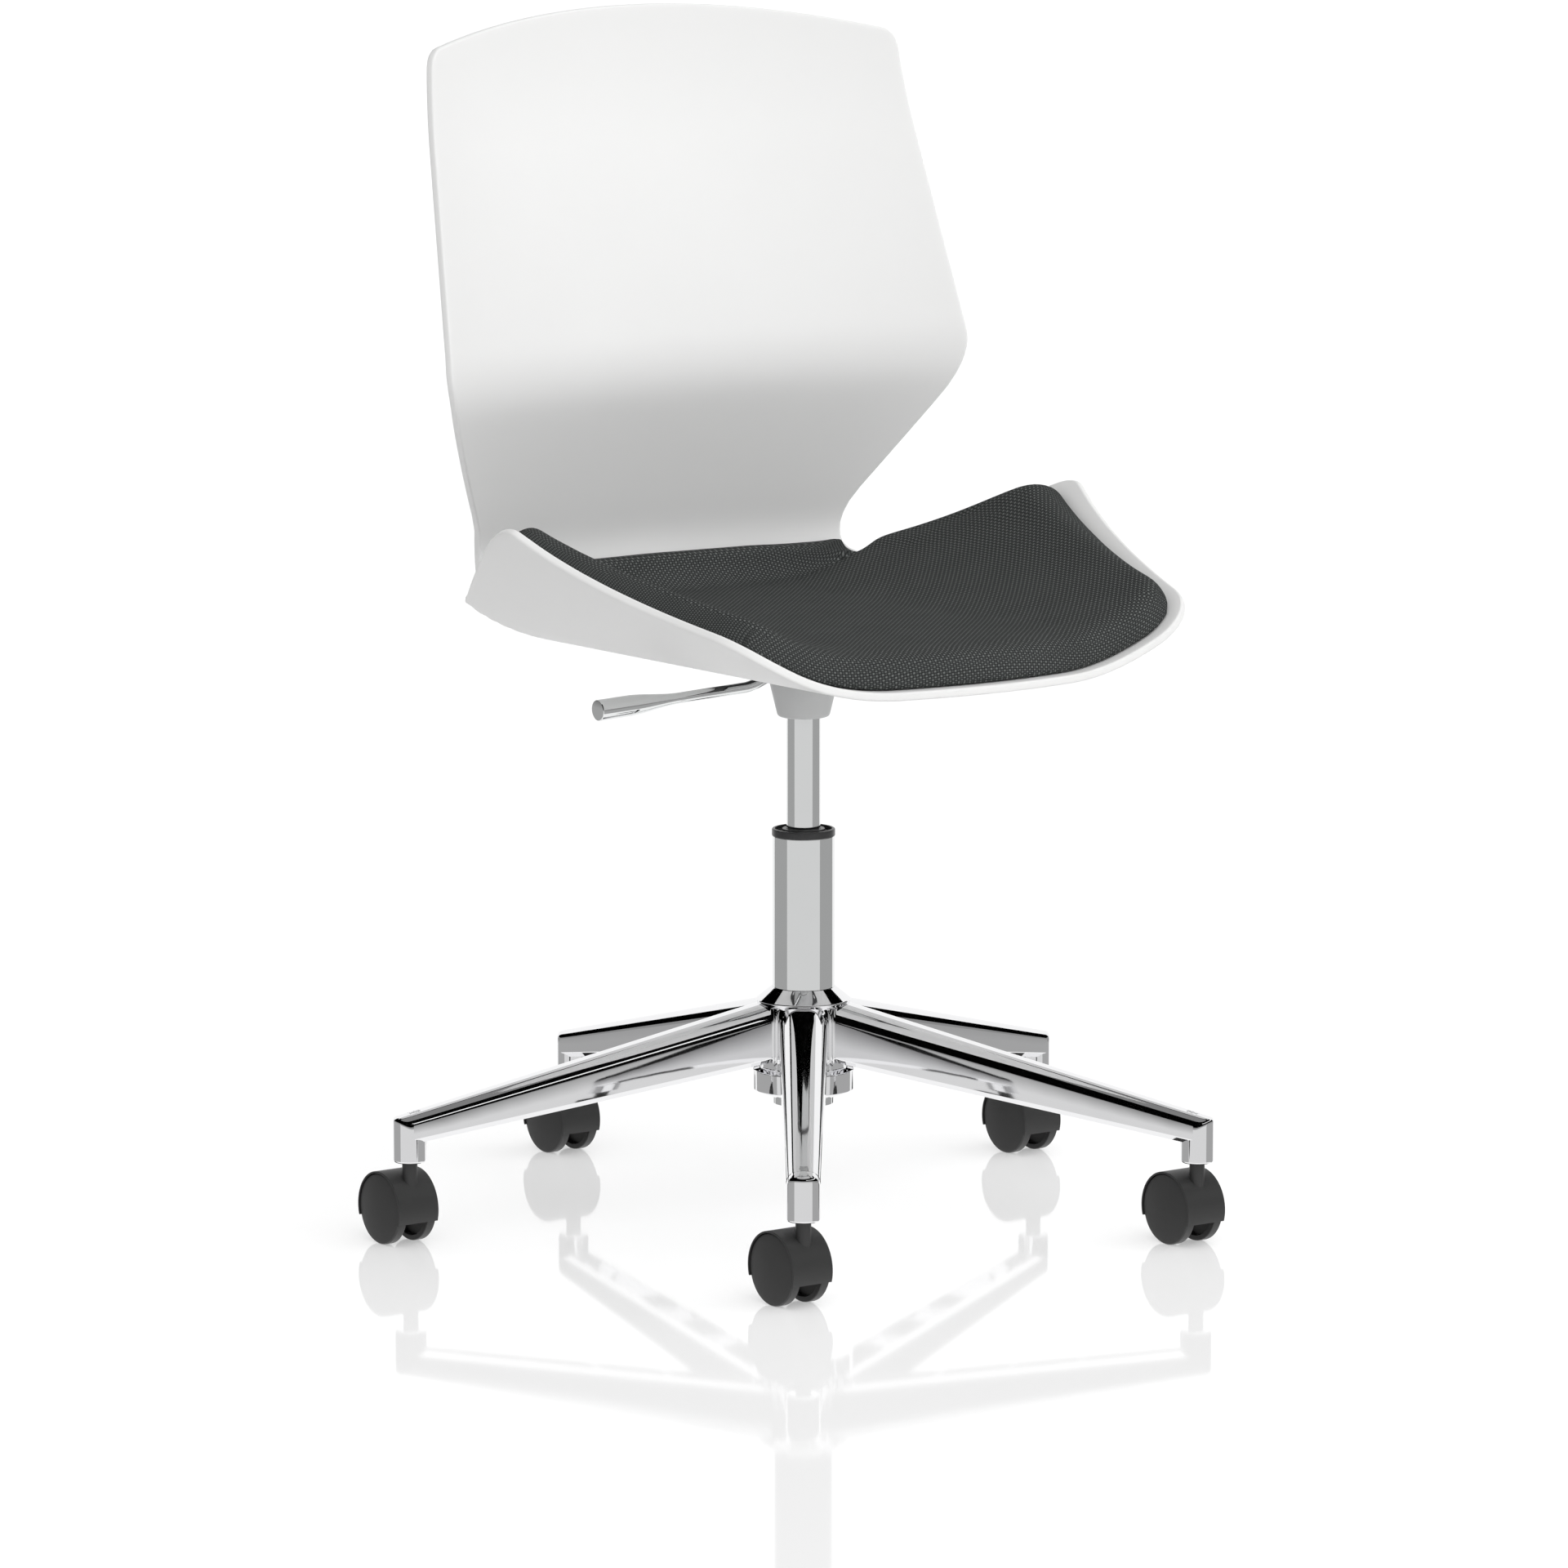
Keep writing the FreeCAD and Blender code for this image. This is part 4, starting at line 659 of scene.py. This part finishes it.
# Seat pad: moulded foam on a thin board, covered in a charcoal plain weave that is drawn round the edge
# and stapled under the board, so no seam shows. The foam swells the cover to a low crown.
PAD_INSET = 0.0060
PAD_HEIGHT = 0.0270
PAD_WALL = 0.0150
PAD_WAIST_WALL = 0.0240
PAD_FRONT_SIDES = -0.12
PAD_REAR_SIDES = 0.12
PAD_ROLL = 0.014
PAD_LENGTH = 0.47
PAD_FOOT = 0.0006
PAD_REAR_TURN = math.radians(84)
PAD_REAR_CORNER = 0.010
PAD_REAR_HALF = 0.180
PAD_ROUNDING = 2.4
PAD_CROWDING = 0.55
WAIST_AT = 0.91
WAIST_SPREAD = 0.17
WAIST_FROM = 0.35
WAIST_RUN = 0.5
CORNER_STEPS = 6
REAR_STEPS = 20
SWELL_FRAMES = 20
PAD_COLUMNS = 100
PAD_ROWS = 88
PAD_PRESSURE = 4.0
PAD_SWELL = 0.002
YARN = 0.00265
WEAVE_REAR_RADIUS = 0.040
WEAVE_FRONT_FACE = -0.21
WEAVE_SIDE_SLOPE = 0.4

inset = []
for index, (x, up) in enumerate(outline):
    before, after = Vector(outline[index - 1]), Vector(outline[(index + 1) % len(outline)])
    run = (after - before).normalized()
    inset.append((x - run.y * PAD_INSET, up + run.x * PAD_INSET))
pad_patch = patch_of(inset)
rear_centre = SEAT_REAR - START + BEND[0] * PAD_REAR_TURN


def pad_rear_up(x):
    """Distance up the outline's plane of the pad's rear edge."""
    point = over_profile(x, *along_profile(rear_centre))
    return (point.y + point.z) / math.sqrt(2)


corner_up = pad_rear_up(PAD_REAR_HALF) - PAD_REAR_CORNER
rear_half = value_at(pad_patch.side, corner_up)
rear_straight = rear_half - PAD_REAR_CORNER
rear_edge = [(rear_straight * k / REAR_STEPS, pad_rear_up(rear_straight * k / REAR_STEPS))
             for k in range(REAR_STEPS + 1)]
turned = [(rear_straight + PAD_REAR_CORNER * math.sin(a), corner_up + PAD_REAR_CORNER * math.cos(a))
          for a in [math.pi / 4 * k / CORNER_STEPS for k in range(1, 2 * CORNER_STEPS + 1)]]
side = [(x, up) for up, x in pad_patch.side if up < corner_up]
pad_patch = Patch(pad_patch.front, side + turned[:CORNER_STEPS - 1:-1], rear_edge + turned[:CORNER_STEPS])


def pad_point(across, share, height):
    """Point at a height over the shell, square to its face."""
    step = 0.002
    x, up = pad_patch.place(across, share)
    here = shell_point(x, up)
    normal = (shell_point(x + step, up) - here).cross(shell_point(x, up + step) - here).normalized()
    return here + normal * height


def crown(across, share):
    """Height of the pad: rolling down to an upright edge, which is taller beside the waist."""
    x = pad_patch.place(across, share)[0]
    reach = pad_patch.place(math.copysign(1, across), share)[0]
    edge = min(abs(reach - x), share * PAD_LENGTH, (1 - share) * PAD_LENGTH)
    fall = 1 - min(1.0, edge / PAD_ROLL)
    gain = PAD_FRONT_SIDES + share * (PAD_REAR_SIDES - PAD_FRONT_SIDES)
    full = PAD_HEIGHT * (1 + gain * abs(across) ** 3)
    waist = max(0.0, 1 - ((share - WAIST_AT) / WAIST_SPREAD) ** 2) ** 2
    waist *= min(1.0, max(0.0, abs(across) - WAIST_FROM) / WAIST_RUN) ** 2
    wall = PAD_WALL + (PAD_WAIST_WALL - PAD_WALL) * waist
    return wall + (full - wall) * (1 - fall ** PAD_ROUNDING) ** (1 / PAD_ROUNDING)


def crowded(place):
    """Move grid lines towards the edges, where the pad turns over."""
    return (1 - PAD_CROWDING) * place + PAD_CROWDING * math.sin(math.pi / 2 * place)


bm = bmesh.new()
stapled = bm.verts.layers.deform.verify()
bmesh.ops.create_grid(bm, x_segments=PAD_COLUMNS, y_segments=PAD_ROWS, size=1.0)
rim = [edge for edge in bm.edges if edge.is_boundary]
under = bmesh.ops.duplicate(bm, geom=bm.verts[:] + bm.edges[:] + bm.faces[:])["geom"]
foot = {item for item in under if isinstance(item, bmesh.types.BMVert)}
bmesh.ops.reverse_faces(bm, faces=[item for item in under if isinstance(item, bmesh.types.BMFace)])
grown = bmesh.ops.extrude_edge_only(bm, edges=rim)["geom"]
halfway = {item for item in grown if isinstance(item, bmesh.types.BMVert)}
rim = [item for item in grown if isinstance(item, bmesh.types.BMEdge)]
grown = bmesh.ops.extrude_edge_only(bm, edges=rim)["geom"]
foot |= {item for item in grown if isinstance(item, bmesh.types.BMVert)}
for vert in bm.verts:
    across, share = crowded(vert.co.x), (crowded(vert.co.y) + 1) / 2
    if vert in foot:
        height = PAD_FOOT
        vert[stapled][0] = 1.0
    else:
        height = PAD_WALL / 2 if vert in halfway else crown(across, share)
    vert.co = pad_point(across, share, height)


def charcoal_weave(name):
    """Plain weave: pale weft and dark warp yarns cross over and under, each a small rounded cushion, with painted
    highlight on each yarn's crown and painted shade in the gaps between yarns.
    """
    material, start, place = new_material(name, Roughness=0.9, IOR=1.2)
    cloth = start.node("ShaderNodeAttribute", {"attribute_name": "weave"}, output=1)
    split = start.node("ShaderNodeSeparateXYZ", None, {0: cloth})
    across = split * (1 / YARN)
    along_cloth = Field(split.tree, split.socket.node.outputs[1]) * (1 / YARN)
    cell = across.math("FLOOR", across) + along_cloth.math("FLOOR", along_cloth)
    even = cell.math("PINGPONG", cell, 1.0)
    bow = across.math("SINE", across * math.pi)
    bow = bow.math("ABSOLUTE", bow)
    round_yarn = along_cloth.math("SINE", along_cloth * math.pi)
    round_yarn = round_yarn.math("ABSOLUTE", round_yarn)
    swell = bow * round_yarn
    fibre = start.node("ShaderNodeTexNoise", None, {"Vector": place, "Scale": 900.0, "Detail": 3.0})
    slow = start.node("ShaderNodeTexNoise", None, {"Vector": place, "Scale": 26.0, "Detail": 2.0})
    # Colour follows the yarn's cushion shape (swell): painted highlight on the crowns and painted shade down to
    # near black in the gaps between yarns. Added to it are the real weft and warp tones, the fibre noise and the
    # slow drift of tone.
    lit = swell * (0.35 + even * 0.65) * (0.6 + fibre * 0.8) * (0.85 + slow * 0.3)
    colour = lit.mix((0.020, 0.022, 0.022, 1), (0.170, 0.178, 0.174, 1))
    relief = swell * (0.6 + even * 0.4) + fibre * 0.15
    bump = start.node("ShaderNodeBump", None, {"Height": relief, "Strength": 0.8, "Distance": 0.0007})
    dress(material, Base_Color=colour, Normal=bump)
    return material


weave_cloth = charcoal_weave("charcoal_plain_weave")
pad = make_piece("upholstered_pad", bm, weave_cloth, "pad_fabric", "seat", "seat_pad", sharp=180)
start_places = [vert.co.copy() for vert in pad.data.vertices]
pad.vertex_groups.new(name="stapled")
cloth = pad.modifiers.new("cover", "CLOTH")
cloth.settings.vertex_group_mass = "stapled"
cloth.settings.use_pressure = True
cloth.settings.uniform_pressure_force = PAD_PRESSURE
cloth.settings.effector_weights.gravity = 0
for step in range(1, SWELL_FRAMES + 1):
    bpy.context.scene.frame_set(step)
swollen = bpy.data.meshes.new_from_object(pad.evaluated_get(bpy.context.evaluated_depsgraph_get()))
pad.modifiers.clear()
pad.vertex_groups.clear()
bpy.context.scene.frame_set(1)
for vert, rest in zip(swollen.vertices, start_places):
    move = vert.co - rest
    if move.length > PAD_SWELL:
        vert.co = rest + move * (PAD_SWELL / move.length)
pad.data = swollen
for polygon in swollen.polygons:
    polygon.use_smooth = True
relax = pad.modifiers.new("drawn_tight", "SMOOTH")
relax.factor = 0.5
relax.iterations = 7
pad_mesh = pad.data
weave = pad_mesh.attributes.new("weave", "FLOAT_VECTOR", "POINT")
for vert in pad_mesh.vertices:
    x, y, z = vert.co
    run = max(0.0, abs(x) - SEAT_FLAT)
    lie = SEAT_RADIUS * math.asin(min(1.0, run / SEAT_RADIUS))
    over = math.copysign(min(abs(x), SEAT_FLAT) + lie, x)
    if y > SEAT_REAR:
        lengthwise = SEAT_REAR + WEAVE_REAR_RADIUS * math.atan2(y - SEAT_REAR, SEAT_FACE + BEND[0] - z)
    else:
        lengthwise = y
    face_drop = SEAT_FACE + PAD_HEIGHT + over_profile(x, 0, 0, 0).z - z
    if y < WEAVE_FRONT_FACE:
        lengthwise -= max(0.0, face_drop)
    elif abs(vert.normal.x) > WEAVE_SIDE_SLOPE:
        over += math.copysign(max(0.0, face_drop), x)
    weave.data[vert.index].vector = (over, lengthwise, 0)
finer = pad.modifiers.new("finer", "SUBSURF")
finer.levels = finer.render_levels = 1


# Hidden hardware: bearing, rod, socket, plate, bolts, inserts, stems and axles keep their machined
# shapes. Zinc-plated steel, black powder coat, brass, rubber and ply each get a worn finish of their own.
FINISHES = {"steel": ((0.56, 0.56, 0.57), 1.0, 0.34), "black_steel": ((0.030, 0.030, 0.031), 0.0, 0.5),
            "cage_brass": ((0.70, 0.53, 0.24), 1.0, 0.32), "black_plastic": ((0.03, 0.03, 0.03), 0.0, 0.45),
            "bumper_rubber": ((0.028, 0.028, 0.028), 0.0, 0.8), "board_wood": ((0.52, 0.38, 0.23), 0.0, 0.6)}
hardware = {}
for name, (colour, metal, gloss) in FINISHES.items():
    material, start, place = new_material("hidden_" + name, Metallic=metal)
    grain = start.node("ShaderNodeTexNoise", None, {"Vector": place, "Scale": 160.0, "Detail": 5.0})
    tone = grain.mix((*[0.82 * c for c in colour], 1), (*[1.1 * c for c in colour], 1))
    bump = start.node("ShaderNodeBump", None, {"Height": grain, "Strength": 0.1, "Distance": 0.0003})
    dress(material, Base_Color=tone, Roughness=(gloss - 0.08) + grain * 0.16, Normal=bump)
    hardware[name] = material
for part in frame["record"]["subparts"]:
    node = frame["nodes"][part["node"]]
    if not node.hide_render and part["material_slot"] in hardware:
        node.data.materials.clear()
        node.data.materials.append(hardware[part["material_slot"]])


# Studio: a glossy white floor that mirrors the castors, plain soft lamps, and surroundings of white and
# grey panels that the polished metal shows as hard-edged bands.
FRONT = Vector((0.15, -0.95, 0.05))
AHEAD = Vector((0.5865, 0.8099, 0))
RIGHT = Vector((0.8099, -0.5865, 0))
LAMPS = (("key_panel", (-1.2, -2.6, 3.2), 2.4, 10.0), ("side_panel", (2.6, -0.8, 2.2), 1.8, 6.0))
AIM = Vector((0, 0, 0.5))
FLOOR_GLOW = 0.2
floor_mesh = bpy.data.meshes.new("studio_floor")
bm = bmesh.new()
bmesh.ops.create_grid(bm, x_segments=1, y_segments=1, size=40.0)
bm.to_mesh(floor_mesh)
bm.free()
floor = bpy.data.objects.new("studio_floor", floor_mesh)
bpy.context.scene.collection.objects.link(floor)
floor_finish, start, place = new_material("glossy_white_floor", Roughness=0.05, IOR=1.42)
floor_finish.node_tree.nodes["Principled BSDF"].inputs["Base Color"].default_value = (0.95, 0.95, 0.95, 1)
floor_tree = floor_finish.node_tree
rays = floor_tree.nodes.new("ShaderNodeLightPath")
lacquer = Field(floor_tree, floor_tree.nodes["Principled BSDF"].outputs[0])
lit_white = start.node("ShaderNodeEmission", None, {"Strength": 1.75})
direct = Field(floor_tree, rays.outputs["Is Camera Ray"]) * FLOOR_GLOW
mirrored = Field(floor_tree, rays.outputs["Is Glossy Ray"])
seen = start.node("ShaderNodeMixShader", None, {0: direct, 1: lacquer, 2: lit_white})
clear = start.node("ShaderNodeBsdfTransparent")
through = start.node("ShaderNodeMixShader", None, {0: mirrored, 1: seen, 2: clear})
floor_tree.links.new(through.socket, floor_tree.nodes["Material Output"].inputs["Surface"])
floor_mesh.materials.append(floor_finish)

world = bpy.data.worlds.new("studio_panels")
bpy.context.scene.world = world
world.use_nodes = True
sky = Field(world.node_tree)
look = sky.node("ShaderNodeTexCoord", output=0)
ahead = sky.node("ShaderNodeVectorMath", {"operation": "DOT_PRODUCT"}, {0: look, 1: AHEAD}, 1)
aside = sky.node("ShaderNodeVectorMath", {"operation": "DOT_PRODUCT"}, {0: look, 1: RIGHT}, 1)
height = sky.node("ShaderNodeVectorMath", {"operation": "DOT_PRODUCT"}, {0: look, 1: (0, 0, 1)}, 1)
behind = ahead > 0.7
band = 0.40 + (ahead < -0.44) * 0.33
below = height < -0.5
fade = (height + 0.13) * 8.0
fade = fade.math("MINIMUM", fade.math("MAXIMUM", fade, 0.0), 1.0)
low = (height < 0.12) * (below + (1 - below) * (band * (1 - fade) + fade * 0.27))
low = low * (1 - behind) + behind * (height < 0.45)
box = (aside > 0.3) * (height > 0.45) * (height < 0.55)
dim = (ahead > 0.5) * (aside.math("ABSOLUTE", aside) < 0.3) * (height > 0.45) * (height < 0.9) * 0.62
panels = low + box + dim + (height > 0.9) * 0.22
toward_front = sky.node("ShaderNodeVectorMath", {"operation": "DOT_PRODUCT"}, {0: look, 1: FRONT}, 1)
ambient = 0.55 + toward_front.math("MAXIMUM", toward_front, 0.0) * 1.45
camera_ray = sky.node("ShaderNodeLightPath")
glossy_ray = Field(sky.tree, camera_ray.socket.node.outputs["Is Glossy Ray"])
strength = camera_ray + glossy_ray * panels + (1 - camera_ray) * (1 - glossy_ray) * ambient
world.node_tree.links.new(strength.socket, world.node_tree.nodes["Background"].inputs["Strength"])
world.node_tree.nodes["Background"].inputs["Color"].default_value = (1, 1, 1, 1)

for name, place, size, power in LAMPS:
    lamp = bpy.data.lights.new(name, "AREA")
    lamp.size = size
    lamp.energy = power
    lit = bpy.data.objects.new(name, lamp)
    lit.location = place
    lit.rotation_euler = (AIM - Vector(place)).to_track_quat("-Z", "Y").to_euler()
    lit.visible_glossy = False
    bpy.context.scene.collection.objects.link(lit)

camera = bpy.data.objects.new("camera", bpy.data.cameras.new("camera"))
bpy.context.scene.collection.objects.link(camera)
camera.data.sensor_width = 36.0
camera.data.lens = 188.4
camera.location = (-3.8901, -5.3543, 1.3965)
toward = Vector((0.5788, 0.8007, -0.1544))
camera.rotation_euler = toward.to_track_quat("-Z", "Y").to_euler()
camera.data.clip_end = 120.0
bpy.context.scene.camera = camera
bpy.context.scene.view_settings.view_transform = "Standard"
